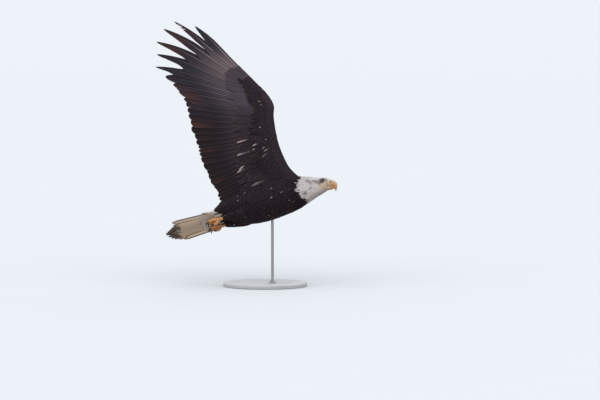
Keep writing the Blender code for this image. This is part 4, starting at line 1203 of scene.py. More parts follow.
def bill_set(stations, upper):
    """One half of the bill: elliptical rings square to its curved line. The upper half has a soft ridge
    along its top, a swollen cere, a dented nostril each side and a waved cutting edge; the place layer
    keeps how far along, how far round and how near the nostril each point is."""
    count, sides = (72, 56) if upper else (36, 40)
    at = np.linspace(0, len(stations) - 1, count)
    x, z, half, rise = along(stations, at).T
    if not upper:
        x, z, rise = x + 0.006 * at / at[-1], z + 0.001, rise * 1.45
    slope = np.arctan2(np.gradient(z), np.gradient(x))[:, None]
    share = (at / at[-1])[:, None]
    angle = turns(sides)[None]
    turn, height = np.cos(angle), np.sin(angle)
    grow = np.ones_like(share * angle)
    hole = np.zeros_like(grow)
    if upper:
        grow = grow + 0.05 * bell(angle, math.pi / 2, 0.28)
        grow = grow + 0.05 * bell(share, 0.06, 0.11) - 0.02 * bell(share, 0.235, 0.03)
        edge = bell(height, -0.8, 0.22)
        grow = grow + edge * (0.05 * np.sin(share * 13.0) * (share < 0.62))
        for centre in (0.14, math.pi - 0.14):
            hole = np.maximum(hole, bell(share, 0.185, 0.032) * bell(angle, centre, 0.27))
        grow = grow - 0.12 * hole
    boxy = np.sign(turn) * np.abs(turn) ** 0.86
    up = rise[:, None] * height * grow
    if upper:
        up = up * np.where(height < 0, 0.96, 1.0)
    out = half[:, None] * boxy * grow
    rings = pack(x[:, None] - up * np.sin(slope), out, z[:, None] + up * np.cos(slope))
    ahead, above = BODY_STATIONS[-1][0] - HEAD_AT[0], BODY_STATIONS[-1][1] - HEAD_AT[1]
    face = ahead * math.cos(HEAD_TILT) + above * math.sin(HEAD_TILT)
    rings[0, :, 0] = face - 0.0012
    return closed_form(head_to_bird(rings), place=pack(share, height, hole))


def scutes(rows, lift=0.07):
    """How scaly leg skin swells along a toe: a sawtooth of plates over the top, small pads under it."""

    def shape(share, angle):
        tooth = (share * rows) % 1.0
        plate = lift * (1 - tooth) ** 0.7 * np.clip(np.sin(angle), 0, 1) ** 0.5
        pad = 1.3 * lift * np.sin(share * rows * 2.1) * np.clip(-np.sin(angle), 0, 1)
        return 1 + plate - 0.3 * lift + pad

    return shape


def leg_parts(side):
    """The shank, the pad and four toes of one leg as overlapping closed forms, and each toe's path."""
    mirror = np.array((1, side, 1))
    drop = np.array((0, 0, LEFT_FOOT_DROP if side > 0 else 0.0))
    pad = (PAD_AT - drop) * mirror
    start = thigh_path(side)[-1, :3] * mirror + np.array((0.006, 0, 0))
    path = np.vstack([start, (np.array(SHANK)[:, :3] - drop) * mirror, pad])
    forms = [closed_form(tube_rings(path, (0.009, 0.0084, 0.008, 0.009, 0.0096), 30, 24, scutes(7)))]
    toes = {}
    for toe, (route, thick, thin) in TOES.items():
        route = pad + np.asarray(route) * mirror
        beyond = route[-1] + unit(route[-1] - route[-2]) * 0.0035
        radii = (thick, 0.95 * thick, thin, 0.62 * thin)
        rows = 5 if toe == "hind" else 9
        forms.append(closed_form(tube_rings(np.vstack([route, beyond]), radii, 40, 20, scutes(rows, 0.09))))
        toes[toe] = route
    turn = np.linspace(0.03, math.pi - 0.03, 14)[:, None]
    around = turns(22)[None]
    ball = pack(np.sin(turn) * np.cos(around), np.sin(turn) * np.sin(around), np.cos(turn))
    forms.append(closed_form(pad + PAD_RADIUS * 0.97 * ball))
    return forms, toes


def claw_set(toe, route):
    """A claw that carries on from the toe's end and curls in: rings along an arc, thinning to the point, a
    little deeper than wide and grooved underneath."""
    ahead = unit(route[-1] - route[-2])
    degrees, curls_to = HIND_CLAW if toe == "hind" else FRONT_CLAW
    down_way = unit(curls_to - ahead * np.dot(curls_to, ahead))
    side_way = np.cross(ahead, down_way)
    share = np.linspace(0, 1, 26)[:, None]
    bend_to = math.radians(degrees)
    radius = CLAW_LENGTH / bend_to
    bent = bend_to * (1.08 * share - 0.08)
    centre = route[-1] + radius * (np.sin(bent) * ahead + (1 - np.cos(bent)) * down_way)
    inward = -np.sin(bent) * ahead + np.cos(bent) * down_way
    thick = CLAW_RADIUS * (1 - share**1.6) ** 0.85 + 0.00022
    angle = turns(18)[None]
    groove = 1 - 0.22 * bell(angle, math.pi / 2, 0.35)
    rings = centre[:, None] + (thick * np.sin(angle) * groove)[..., None] * inward[:, None] + (
        0.86 * thick * np.cos(angle) * groove)[..., None] * side_way
    return closed_form(rings, place=pack(share, np.sin(angle), np.cos(angle)))


# ---- finishes ----


class Value:
    """A shader node's output in a formula: each sum, difference, product or abs() is one Math node."""

    def __init__(self, socket):
        self.socket, self.tree = socket, socket.id_data

    def __add__(self, other):
        return calc("ADD", self, other)

    def __sub__(self, other):
        return calc("SUBTRACT", self, other)

    def __rsub__(self, other):
        return calc("SUBTRACT", other, self)

    def __mul__(self, other):
        return calc("MULTIPLY", self, other)

    def __abs__(self):
        return calc("ABSOLUTE", self)

    def held(self):
        """The same value, kept between 0 and 1."""
        self.socket.node.use_clamp = True
        return self


def add(tree, kind, inputs=None, **settings):
    """The outputs of a new shader node with its settings, and its inputs as plain or as other nodes'
    values."""
    node = tree.nodes.new("ShaderNode" + kind)
    for key, value in settings.items():
        setattr(node, key, value)
    for key, value in (inputs or {}).items():
        if isinstance(value, Value):
            tree.links.new(value.socket, node.inputs[key])
        else:
            node.inputs[key].default_value = value
    return node.outputs


def calc(operation, *values):
    """One Math node's result."""
    tree = next(value.tree for value in values if isinstance(value, Value))
    return Value(add(tree, "Math", dict(enumerate(values)), operation=operation)[0])


def step_up(value, low, high):
    """A soft step from 0 at low to 1 at high."""
    inputs = {"Value": value, "From Min": low, "From Max": high}
    return Value(add(value.tree, "MapRange", inputs, interpolation_type="SMOOTHSTEP")[0])


def tint(share, first, second):
    """The first colour turning to the second as the share goes from 0 to 1."""
    first, second = (colour if isinstance(colour, Value) else (*colour, 1.0) for colour in (first, second))
    return Value(add(share.tree, "Mix", {0: share, 6: first, 7: second}, data_type="RGBA")[2])


def noise(tree, at, scale, detail=2.0, roughness=0.5):
    """Soft noise at a place."""
    inputs = {"Vector": at, "Scale": scale, "Detail": detail, "Roughness": roughness}
    return Value(add(tree, "TexNoise", inputs)["Fac"])


def place_at(tree, *numbers):
    """A place from two or three numbers."""
    return Value(add(tree, "CombineXYZ", dict(enumerate(numbers)))[0])


def own_place(tree):
    """Where a point of the piece is, in the piece's own coordinates."""
    return Value(add(tree, "TexCoord")["Object"])


def layer(material, name):
    """The three numbers of an attribute."""
    kept = Value(add(material.node_tree, "Attribute", attribute_name=name)["Vector"])
    return [Value(part) for part in add(kept.tree, "SeparateXYZ", {0: kept})]


def shared(name, inputs, outputs, fill):
    """A node group, made the first time it is asked for: fill turns its tree and inputs into its outputs."""
    tree = bpy.data.node_groups.get(name)
    if tree:
        return tree
    tree = bpy.data.node_groups.new(name, "ShaderNodeTree")
    for label in inputs:
        tree.interface.new_socket(label, in_out="INPUT", socket_type="NodeSocketFloat")
    for label in outputs:
        tree.interface.new_socket(label, in_out="OUTPUT", socket_type="NodeSocketFloat")
    given = [Value(socket) for socket in tree.nodes.new("NodeGroupInput").outputs[:len(inputs)]]
    ends = tree.nodes.new("NodeGroupOutput").inputs
    for value, end in zip(fill(tree, *given), ends):
        tree.links.new(value.socket, end)
    return tree


def placed(tree, group, inputs):
    """A node group's outputs in a material."""
    return [Value(socket) for socket in add(tree, "Group", inputs, node_tree=group)]


def fill_vane(tree, barb, across, seed, count):
    """Barbs as noise drawn out across the vane, finer hairs likewise, and the shaft as a line at its
    middle."""
    line = barb * count
    marks = []
    for times, wide, apart in ((1.0, 1.6, 41.0), (4.5, 0.7, 93.0)):
        at = place_at(tree, line * times, across * wide, seed * apart)
        marks.append(step_up(noise(tree, at, 1.0, 2.5, 0.6), 0.28, 0.72))
    return *marks, 1.0 - step_up(abs(across), 0.015, 0.085)


def grain(barb, across, seed, count):
    """A vane's barbs, hairs and shaft."""
    inputs = {"Barb": barb, "Across": across, "Seed": seed, "Count": count}
    group = shared("feather_grain", inputs, ("Grain", "Hair", "Shaft"), fill_vane)
    return placed(barb.tree, group, inputs)


def fill_end(tree, along_it, across, streaks, rim_from, rim_side, rim_strength, streak_from, streak_full):
    """A rim that pales toward the tip and the edges, and a streak on one vane that widens to the tip, its
    edge torn along the barbs."""
    edge = calc("MAXIMUM", step_up(along_it, rim_from, 1.0), step_up(abs(across), rim_side, 1.0))
    narrow = (1.0 - along_it) * 1.3
    torn = (streaks - 0.5) * 0.6
    wedge = step_up(across + (narrow + torn), 0.3, -0.1)
    rim = edge * rim_strength * step_up(along_it, 0.45, 0.8)
    return rim, wedge * step_up(along_it, streak_from, streak_full)


def feather_end(along_it, across, streaks, **ends):
    """A small feather's paler rim and its streak."""
    inputs = {"Along": along_it, "Across": across, "Barbs": streaks}
    inputs |= {label.replace("_", " ").title(): value for label, value in ends.items()}
    group = shared("feather_end", inputs, ("Rim", "Streak"), fill_end)
    return placed(across.tree, group, inputs)


def fill_mottle(tree, scale, speck_scale):
    """A soft mottle and a fine speck, by the piece's own coordinates."""
    at = own_place(tree)
    return [step_up(noise(tree, at, size, 3.0, 0.55), 0.3, 0.7) for size in (scale, speck_scale)]


def mottle(material, scale, speck_scale):
    """The mottle and speck of a hard or bare surface."""
    inputs = {"Scale": scale, "Speck Scale": speck_scale}
    return placed(material.node_tree, shared("mottle", inputs, ("Soft", "Speck"), fill_mottle), inputs)


def new_material(name, roughness, **fixed):
    """A material whose Principled shader has its plain numbers on its own sockets."""
    material = bpy.data.materials.new(name)
    material.use_nodes = True
    shader = material.node_tree.nodes["Principled BSDF"]
    shader.inputs["Roughness"].default_value = roughness
    for key, value in fixed.items():
        shader.inputs[key.replace("_", " ")].default_value = value
    return material


def finish(material, colour, roughness=None, height=None, distance=0.0004, strength=0.6):
    """The material, with colour, roughness and bump led into its shader."""
    tree = material.node_tree
    shader = tree.nodes["Principled BSDF"]
    tree.links.new(colour.socket, shader.inputs["Base Color"])
    if roughness:
        tree.links.new(roughness.socket, shader.inputs["Roughness"])
    if height:
        bump = add(tree, "Bump", {"Height": height, "Distance": distance, "Strength": strength})
        tree.links.new(bump[0], shader.inputs["Normal"])
    return material


def plumage_material(name, hues):
    """Small feathers: brown ones with paler rims and, where marked, a pale streak down one vane; white ones
    smudged with dusk and cream, and greyed toward their bases and under the throat by painted shade. Barbs
    slant from the shaft, so they follow u less a third of |v|."""
    feather = new_material(name, 0.72, Specular_IOR_Level=0.12)
    u, v, tone = layer(feather, "vane")
    first, second, white = layer(feather, "mark")
    streaks, hair, shaft = grain(u - abs(v) * 0.33, v, tone, 22.0)
    rim, streak = feather_end(u, v, streaks, rim_from=0.78, rim_side=0.7, rim_strength=0.55,
                              streak_from=0.3, streak_full=0.5)
    brown = tint(tone * 0.65 + streaks * 0.35, hues.brown, hues.warm_brown)
    brown = tint(rim, brown, hues.brown_rim)
    brown = tint(hair * 0.3, brown, hues.brown)
    brown = tint((first * streak * (1.1 - hair)).held(), brown, hues.fleck)
    pale = tint(streaks * 0.5, hues.white, hues.white_shade)
    # painted shade: each white feather greys toward its base, where the feathers over it would shade it
    pale = tint((1.0 - step_up(u, 0.2, 0.7)) * 0.4, pale, hues.white_shade)
    pale = tint(second, pale, hues.cream)
    # dusk on white feathers: real smudges, and painted shade under the throat
    pale = tint((first * (hair * 0.5 + 0.55)).held(), pale, hues.dusk)
    colour = tint(white, brown, pale)
    return finish(feather, colour, hair * 0.22 + 0.62, hair * 0.5 + shaft, 0.0003, 0.5)


def covert_material(name, hues):
    """Wing coverts: as the body's brown feathers, but lighter and greyer where marked, some of them
    rufous."""
    feather = new_material(name, 0.66, Specular_IOR_Level=0.14)
    u, v, tone = layer(feather, "vane")
    fleck, light, rufous = layer(feather, "mark")
    streaks, hair, shaft = grain(u - abs(v) * 0.25, v, tone, 26.0)
    rim, streak = feather_end(u, v, streaks, rim_from=0.8, rim_side=0.75, rim_strength=0.5,
                              streak_from=0.35, streak_full=0.55)
    brown = tint(tone * 0.5 + streaks * 0.5, hues.brown, hues.warm_brown)
    grey = tint(streaks * 0.6, hues.covert_grey, hues.flight_dark)
    brown = tint(light * step_up(u, 0.2, 0.45), brown, grey)
    brown = tint(rim, brown, hues.brown_rim)
    brown = tint(rufous * step_up(u, 0.5, 0.95), brown, hues.rufous)
    brown = tint((fleck * streak * (1.15 - hair)).held(), brown, hues.fleck)
    return finish(feather, brown, hair * 0.25 + 0.55, hair * 0.5 + shaft, 0.0003, 0.5)


def flight_material(name, hues):
    """Flight feathers: pale at the quill end, dark and slate or rufous to the tip, with barbs, a shaft
    that is whitish near its base, and a darker front vane."""
    feather = new_material(name, 0.5, Specular_IOR_Level=0.13)
    x, v, number = layer(feather, "vane")
    barb, _, seed = layer(feather, "place")
    pale, rufous, blue = layer(feather, "mark")
    streaks, hair, shaft = grain(barb, v, seed, 160.0)
    dark = tint(blue, hues.flight_dark, hues.slate)
    dark = tint(streaks * 0.35 + step_up(number, 0.26, 0.46) * 0.9, dark, hues.brown)
    worn = rufous * step_up(x, 0.6, 0.88) * (abs(v) * 0.5 + 0.45)
    dark = tint(worn, dark, hues.rufous)
    base = (1.0 - step_up(x + hair * 0.05, 0.25, 0.72)) * pale
    colour = tint(base * (step_up(v, 0.1, -0.6) * 0.45 + 0.55), dark, hues.quill_grey)
    colour = tint(step_up(v, 0.05, 0.4) * 0.45, colour, hues.brown)
    quill = shaft * (1.0 - step_up(x, 0.4, 0.95)) * (pale * 0.7 + 0.06)
    colour = tint(quill, colour, hues.quill)
    colour = tint(step_up(v, -0.8, -1.0) * 0.45, colour, hues.brown_rim)
    return finish(feather, colour, hair * 0.22 + 0.42, hair, 0.00025, 0.5)


def tail_material(name, hues):
    """Tail feathers: cream, greyer to the middle of the fan, with a ragged dark tip and a dark outer
    edge."""
    feather = new_material(name, 0.55, Specular_IOR_Level=0.38, Sheen_Weight=0.08)
    x, v, _ = layer(feather, "vane")
    barb, _, seed = layer(feather, "place")
    tip, edge, grey = layer(feather, "mark")
    streaks, hair, shaft = grain(barb, v, seed, 130.0)
    colour = tint(hair * 0.14, hues.tail_cream, hues.tail_gold)
    colour = tint(grey * (streaks * 0.45 + 0.55), colour, hues.tail_grey)
    colour = tint(step_up(v, 0.35, 0.95) * (0.95 - grey * 0.5), colour, hues.tail_gold)
    ragged = x + (streaks - 0.5) * 0.16
    dark_tip = step_up(ragged - (1.04 - tip * 0.24), -0.05, 0.05) * 0.93
    colour = tint(dark_tip, colour, hues.tail_dark)
    outer = edge * step_up(v + hair * 0.1, -0.06, -0.26) * 0.95
    colour = tint(outer * step_up(x, 0.15, 0.32), colour, hues.tail_dark)
    lining = step_up(edge, 0.7, 1.0) * step_up(v, 0.62, 0.9) * (step_up(x, 0.2, 0.85) * 0.85)
    colour = tint(lining, colour, hues.tail_dark)
    colour = tint(shaft * 0.5, colour, hues.tail_gold)
    return finish(feather, colour, hair * 0.2 + 0.45, hair, 0.00025, 0.5)


def skin_material(name, hues):
    """Bare skin under the coat: dark under brown feathers, pink-grey under white ones, cream about the
    face."""
    skin = new_material(name, 0.6, Specular_IOR_Level=0.4)
    dusky, cream, white = layer(skin, "mark")
    soft, speck = mottle(skin, 90.0, 900.0)
    dark = tint(soft, hues.brown, hues.warm_brown)
    pale = tint(soft * 0.5, hues.white_shade, hues.skin)
    pale = tint(cream, pale, hues.cream)
    # dusk on the skin: real smudges, and painted shade under the throat and round the eyes
    pale = tint(dusky, pale, hues.dusk)
    return finish(skin, tint(white, dark, pale), speck * 0.2 + 0.5, speck)


def bill_material(name, hues):
    """Horn: yellow cere, orange sides, a dusky curved tip, growth lines along it, a painted highlight
    along its top, and a nostril painted black as the shade in its opening.
    """
    horn = new_material(name, 0.32, Coat_Weight=0.15, Coat_Roughness=0.25)
    share, height, hole = layer(horn, "place")
    soft, speck = mottle(horn, 160.0, 1400.0)
    colour = tint((step_up(share, 0.1, 0.46) + soft * 0.2).held(), hues.cere, hues.bill)
    growth = noise(horn.node_tree, place_at(horn.node_tree, share * 40.0, height * 2.0), 1.0)
    colour = tint(growth * 0.3, colour, hues.bill_tip)
    colour = tint(step_up(share, 0.6, 0.95) * 0.75, colour, hues.bill_tip)
    # painted highlight: the bill pales toward its top, where the light from above falls
    top_highlight = height + 0.4 - share * 0.6
    colour = tint(step_up(top_highlight, 0.45, 0.95) * 0.85, colour, hues.culmen)
    # painted shade: the nostril is a shallow dent painted black for the shade inside its opening
    colour = tint(step_up(hole, 0.2, 0.5), colour, hues.claw)
    colour = tint(step_up(height, -0.9, -1.0) * 0.6, colour, hues.bill_tip)
    return finish(horn, colour, soft * 0.14 + 0.28, speck, 0.0001, 0.4)


def eye_material(name, hues):
    """The eye: black pupil, an iris with spokes in dark brown, painted shade standing in for the brow's
    shadow on a pale yellow iris, a dark rim, under a clear coat.
    """
    eye = new_material(name, 0.22, Specular_IOR_Level=0.15, Coat_Weight=0.3, Coat_Roughness=0.03)
    fall, cosine, sine = layer(eye, "place")
    spokes = noise(eye.node_tree, place_at(eye.node_tree, cosine * 9.0, sine * 9.0), 2.0, 3.0)
    # painted shade: the iris is dark brown for the brow's shadow; the bird's own iris is pale yellow
    iris = tint(spokes * 0.6, hues.iris, hues.bill_tip)
    colour = tint(step_up(fall, 0.38, 0.44), hues.claw, iris)
    return finish(eye, tint(step_up(fall, 0.58, 0.68), colour, hues.claw))


def foot_material(name, hues, shade):
    """Scaly leg skin: yellow to orange, with painted shade in the creases between the scales."""
    skin = new_material(name, 0.45, Specular_IOR_Level=0.5)
    soft, speck = mottle(skin, 130.0, 1100.0)
    inputs = {"Vector": own_place(skin.node_tree), "Scale": 560.0}
    cells = Value(add(skin.node_tree, "TexVoronoi", inputs, feature="DISTANCE_TO_EDGE")["Distance"])
    # painted shade: the creases between the scales darken toward dusky horn
    crease = 1.0 - step_up(cells, 0.0, 0.14)
    colour = tint(crease * 0.38, tint(soft, shade, hues.foot_orange), hues.bill_tip)
    return finish(skin, colour, soft * 0.2 + 0.4, speck - crease, 0.0003, 0.6)


def claw_material(name, hues):
    """Black horn, a little brown at its base, with lines along it."""
    horn = new_material(name, 0.28, Coat_Weight=0.3, Coat_Roughness=0.2)
    share, _, _ = layer(horn, "place")
    soft, speck = mottle(horn, 240.0, 1500.0)
    base = (1.0 - step_up(share, 0.0, 0.35)) * 0.6
    colour = tint(base + soft * 0.15, hues.claw, hues.dusk)
    return finish(horn, colour, soft * 0.16 + 0.22, speck, 0.0001, 0.4)


def lacquer_material(name, hues):
    """Satin lacquer on the stand's base: a faint orange peel, and rubs where it is handled."""
    lacquer = new_material(name, 0.42, Coat_Weight=0.25, Coat_Roughness=0.3)
    soft, speck = mottle(lacquer, 14.0, 420.0)
    colour = tint(soft * 0.5, hues.lacquer, hues.lacquer_rub)
    colour = tint(speck * 0.12, colour, hues.lacquer_rub)
    return finish(lacquer, colour, soft * 0.2 + 0.34, speck, 0.0001, 0.3)


def steel_material(name, hues):
    """Drawn steel: hair lines run up the rod, so the noise is drawn out along Z."""
    steel = new_material(name, 0.3, Metallic=1.0)
    inputs = {"Vector": own_place(steel.node_tree), "Scale": (900.0, 900.0, 9.0)}
    drawn = Value(add(steel.node_tree, "Mapping", inputs)[0])
    lines = noise(steel.node_tree, drawn, 1.0, 4.0)
    soft, _ = mottle(steel, 30.0, 700.0)
    colour = tint(lines, hues.steel, hues.steel_dark)
    return finish(steel, colour, lines * 0.22 + 0.22 + soft * 0.06, lines, 0.00005, 0.4)


def floor_material(name, hues):
    """A pale studio floor that throws little light back up."""
    floor = new_material(name, 0.9, Specular_IOR_Level=0.1)
    soft, _ = mottle(floor, 1.5, 40.0)
    seen = Value(add(floor.node_tree, "LightPath")["Is Camera Ray"])
    pale = tint(soft * 0.01, hues.floor, hues.floor_bounce)
    return finish(floor, tint(seen, hues.floor_bounce, pale))


# ---- settings ----

COLOURS = {
    "brown": ("Darkest brown of the body and wing coverts", (0.0085, 0.0052, 0.008)),
    "warm_brown": ("The lighter brown that some feathers turn to", (0.022, 0.0132, 0.018)),
    "brown_rim": ("The paler rims of the brown feathers", (0.074, 0.051, 0.062)),
    "fleck": ("The pale streaks on some brown feathers", (0.66, 0.54, 0.53)),
    "rufous": ("Worn reddish ends of flight feathers", (0.068, 0.026, 0.021)),
    "slate": ("Bluish flight feathers", (0.018, 0.0175, 0.031)),
    "flight_dark": ("The main colour of the flight feathers", (0.024, 0.0185, 0.0265)),
    "quill_grey": ("The pale inner part of the outer primaries", (0.16, 0.12, 0.128)),
    "quill": ("The shafts of the flight feathers", (0.36, 0.31, 0.33)),
    "covert_grey": ("The greater primary coverts under the wing", (0.092, 0.07, 0.092)),
    "white": ("The hood and tail coverts", (0.8, 0.77, 0.755)),
    # white_shade also paints the shade at the white feathers' bases
    "white_shade": ("The soft grey in the white plumage", (0.5, 0.455, 0.435)),
    "cream": ("The bare cream skin and down before the eye", (0.65, 0.49, 0.33)),
    # dusk also carries painted shade under the throat and round the eyes
    "dusk": ("Dusky smudges through and behind the eye", (0.066, 0.038, 0.052)),
    "skin": ("Bare skin under the white plumage", (0.45, 0.36, 0.32)),
    "tail_cream": ("The pale vanes of the tail", (0.92, 0.76, 0.57)),
    "tail_gold": ("Stained edges in the tail", (0.68, 0.48, 0.29)),
    "tail_grey": ("The middle of the tail", (0.46, 0.385, 0.33)),
    "tail_dark": ("The tail's tips and outer edges", (0.03, 0.02, 0.02)),
    "cere": ("The yellow base of the bill", (0.6, 0.46, 0.33)),
    "bill": ("The bill's sides", (0.62, 0.3, 0.1)),
    "bill_tip": ("Dusky horn", (0.22, 0.125, 0.07)),
    # painted highlight: this pale colour along the bill's top is light from above painted into it
    "culmen": ("The worn top of the bill", (0.66, 0.6, 0.53)),
    # painted shade: the iris colour is darkened for the shadow the brow casts on it
    "iris": ("The iris", (0.2, 0.15, 0.07)),
    "foot": ("Yellow leg skin", (0.86, 0.45, 0.14)),
    # foot_orange also gives the left foot its painted shade
    "foot_orange": ("The ruddier leg skin", (0.66, 0.29, 0.12)),
    "claw": ("Black horn", (0.01, 0.009, 0.01)),
    "lacquer": ("The stand's base", (0.62, 0.64, 0.67)),
    "lacquer_rub": ("Where the base is handled", (0.5, 0.52, 0.55)),
    "steel": ("The stand's rod and collar", (0.62, 0.62, 0.63)),
    "steel_dark": ("Hair lines in the steel", (0.4, 0.4, 0.41)),
    "floor": ("The studio floor", (0.765, 0.8, 0.832)),
    "floor_bounce": ("The light that the floor throws back up", (0.43, 0.41, 0.395)),
    "sky": ("Light from above", (1.0, 1.01, 1.03)),
    "horizon": ("Light from the sides", (0.8, 0.83, 0.87)),
}


class EagleColours(bpy.types.PropertyGroup):
    """The colours of the bird, its stand and the studio."""

    __annotations__ = {
        key: bpy.props.FloatVectorProperty(
            name=key.replace("_", " ").capitalize(), description=text, default=default, subtype="COLOR",
            size=3, min=0.0, max=2.0)
        for key, (text, default) in COLOURS.items()
    }


class EagleSizes(bpy.types.PropertyGroup):
    """How closely the coat is laid, and where the camera stands."""

    trunk_closeness: bpy.props.FloatProperty(
        name="Trunk feather scale", description="Size and spacing of the trunk's feathers", default=1.0,
        min=0.6, max=2.0, subtype="FACTOR")
    hood_closeness: bpy.props.FloatProperty(
        name="Hood feather scale", description="Size and spacing of the hood's feathers", default=1.0,
        min=0.6, max=2.0, subtype="FACTOR")
    camera_distance: bpy.props.FloatProperty(
        name="Camera distance", description="From the camera to the bird", default=15.0, unit="LENGTH")
    view_width: bpy.props.FloatProperty(
        name="View width", description="How much the frame takes in at the bird", default=2.85,
        unit="LENGTH")
    camera_rise: bpy.props.FloatProperty(
        name="Camera elevation", description="How far the camera looks down", default=math.radians(3.5),
        subtype="ANGLE")
    sun: bpy.props.FloatProperty(
        name="Soft light", description="Strength of the broad light from above", default=0.55, min=0.0)


def settings():
    """The scene's sizes and colours."""
    return bpy.context.scene.eagle_sizes, bpy.context.scene.eagle_colours


def made_once(name, make, *more):
    """The named material, made the first time it is asked for."""
    return bpy.data.materials.get(name) or make(name, settings()[1], *more)


# ---- operators ----


class EAGLE_OT_stage(bpy.types.Operator):
    """Camera, pale floor and soft light. The floor is a wide dish whose rim rises as a smooth step; it looks
    pale to the camera but throws little light back up."""

    bl_idname = "eagle.stage"
    bl_label = "Studio"

    def execute(self, context):
        sizes, hues = settings()
        scene = context.scene
        scene.view_settings.view_transform = "Standard"
        target = Vector(BIRD_AT) + Vector(VIEW_MIDDLE)
        ahead = Vector((0.0, math.cos(sizes.camera_rise), -math.sin(sizes.camera_rise)))
        camera = bpy.data.cameras.new("camera")
        camera.sensor_width = 36.0
        camera.lens = camera.sensor_width * sizes.camera_distance / sizes.view_width
        camera.clip_end = 400.0
        view = new_object("camera", camera)
        view.matrix_world = Matrix.Translation(target - ahead * sizes.camera_distance) @ ahead.to_track_quat(
            "-Z", "Y").to_matrix().to_4x4()
        scene.camera = view
        self.make_floor()
        self.make_light(scene, sizes, hues)
        return {"FINISHED"}

    def make_floor(self):
        """The dish: flat out to its rim, whose height is the power of a smooth step of the radius."""
        flat = np.linspace(0.5, FLOOR_FLAT - 2, 12)
        radius = np.concatenate([flat, np.linspace(FLOOR_FLAT + 2, FLOOR_RIM, 30)])[:, None]
        turn = turns(96)[None]
        height = RIM_RISE * smooth((radius - FLOOR_FLAT) / 80) ** 1.2 - 0.0002
        points = pack(radius * np.cos(turn), radius * np.sin(turn), height)
        rows, sides = points.shape[:2]
        faces = [ring_quads(rows, sides, rows - 1)[:, [0, 3, 2, 1]], np.arange(sides)[None]]
        made = {"points": points.reshape(-1, 3), "faces": faces, "layers": {}}
        make_object("floor", made, made_once("floor", floor_material), sharp=0, stage=True, place=False)

    def make_light(self, scene, sizes, hues):
        """An even sky, lighter above, and one broad soft lamp."""
        world = bpy.data.worlds.new("studio")
        scene.world = world
        world.use_nodes = True
        tree = world.node_tree
        up = Value(add(tree, "SeparateXYZ", {0: Value(add(tree, "TexCoord")["Generated"])})[2])
        lit = tint(step_up(up, 0.0, 0.75), hues.horizon, hues.sky)
        tree.links.new(lit.socket, tree.nodes["Background"].inputs["Color"])
        sun = bpy.data.lights.new("soft_light", "SUN")
        sun.energy, sun.angle = sizes.sun, math.radians(70)
        lamp = new_object("soft_light", sun)
        lamp.matrix_world = Vector((0.35, 0.55, -1.0)).to_track_quat("-Z", "Y").to_matrix().to_4x4()


class EAGLE_OT_skin(bpy.types.Operator):
    """One skin over trunk, neck, head, thighs and arms, with lids and the corners of the mouth."""

    bl_idname = "eagle.skin"
    bl_label = "Skin"

    def execute(self, context):
        sets = [body_skin()]
        for side in (-1, 1):
            sets += [wing_skin(side), thigh_skin(side), lids(side), brow(side), gape(side)]
        skin = united("skin", sets)
        x, y, z = skin["points"].T
        table = np.array(BODY_STATIONS)
        station = np.interp(x, table[:, 0], np.arange(len(table))) - RUMP_ROWS
        axis = np.interp(x, table[:, 0], table[:, 1])
        angle = np.arctan2(z - axis, y)
        dusky, cream, white = body_markings(station, angle)
        by_body = np.hypot(y, z - axis) < 1.03 * np.interp(x, table[:, 0], table[:, 3:].max(axis=1)) + 0.002
        # painted shade: the skin within about 12 mm of each eye, the brow included, turns dusky for the
        # brow's shadow
        for side in (-1, 1):
            away = np.linalg.norm(skin["points"] - eye_centre(side), axis=1)
            dusky = np.maximum(dusky, 0.9 * np.exp(-((away / 0.0125) ** 4)))
        skin["layers"]["mark"] = pack(dusky, cream, white * by_body)
        flesh = ["trunk", "neck", "head", "tail_coverts"]
        for label, _ in SIDES:
            flesh += [f"{part}_{label}" for part in ("thigh", "wing_upper_arm", "wing_forearm", "wing_hand")]
        make_object("skin", skin, made_once("bare_skin", skin_material), "brown_plumage", replaces=flesh)
        return {"FINISHED"}


class EAGLE_OT_head(bpy.types.Operator):
    """The eyes and the two halves of the bill."""

    bl_idname = "eagle.head"
    bl_label = "Eyes and bill"

    def execute(self, context):
        for label, side in SIDES:
            make_object(f"eyeball_{label}", ball_set(side), made_once("eye_glass", eye_material), "eye",
                        replaces=[f"eye_{label}"])
        for half, stations in (("upper", UPPER_BILL), ("lower", LOWER_BILL)):
            horn = made_once("bill_horn_worn", bill_material)
            make_object(f"beak_{half}", bill_set(stations, half == "upper"), horn, "bill_horn",
                        replaces=[f"bill_{half}"])
        return {"FINISHED"}


class EAGLE_OT_body_coat(bpy.types.Operator):
    """Feathers of the trunk, rump, hood, face and thighs."""

    bl_idname = "eagle.body_coat"
    bl_label = "Body coat"

    def execute(self, context):
        sizes, _ = settings()
        plumage = made_once("contour_feathers", plumage_material)
        parts = (
            ("coat_trunk", -1.35, 4.9, sizes.trunk_closeness, True, "round", "brown_plumage"),
            ("coat_neck", 4.9, 7.7, sizes.hood_closeness, False, "lance", "white_plumage"),
            ("coat_head", 7.7, 10.96, sizes.hood_closeness, False, "round", "white_plumage"),
        )
        for number, (name, first, last, closeness, fine, form, slot) in enumerate(parts):
            coat = body_coat(first, last, closeness, 10 + number, fine, form)
            make_object(name, coat, plumage, slot)
        make_object("coat_tail_base", tail_coverts(), plumage, "white_plumage")
        for label, side in SIDES:
            make_object(f"coat_thigh_{label}", thigh_coat(side), plumage, "brown_plumage")
        return {"FINISHED"}


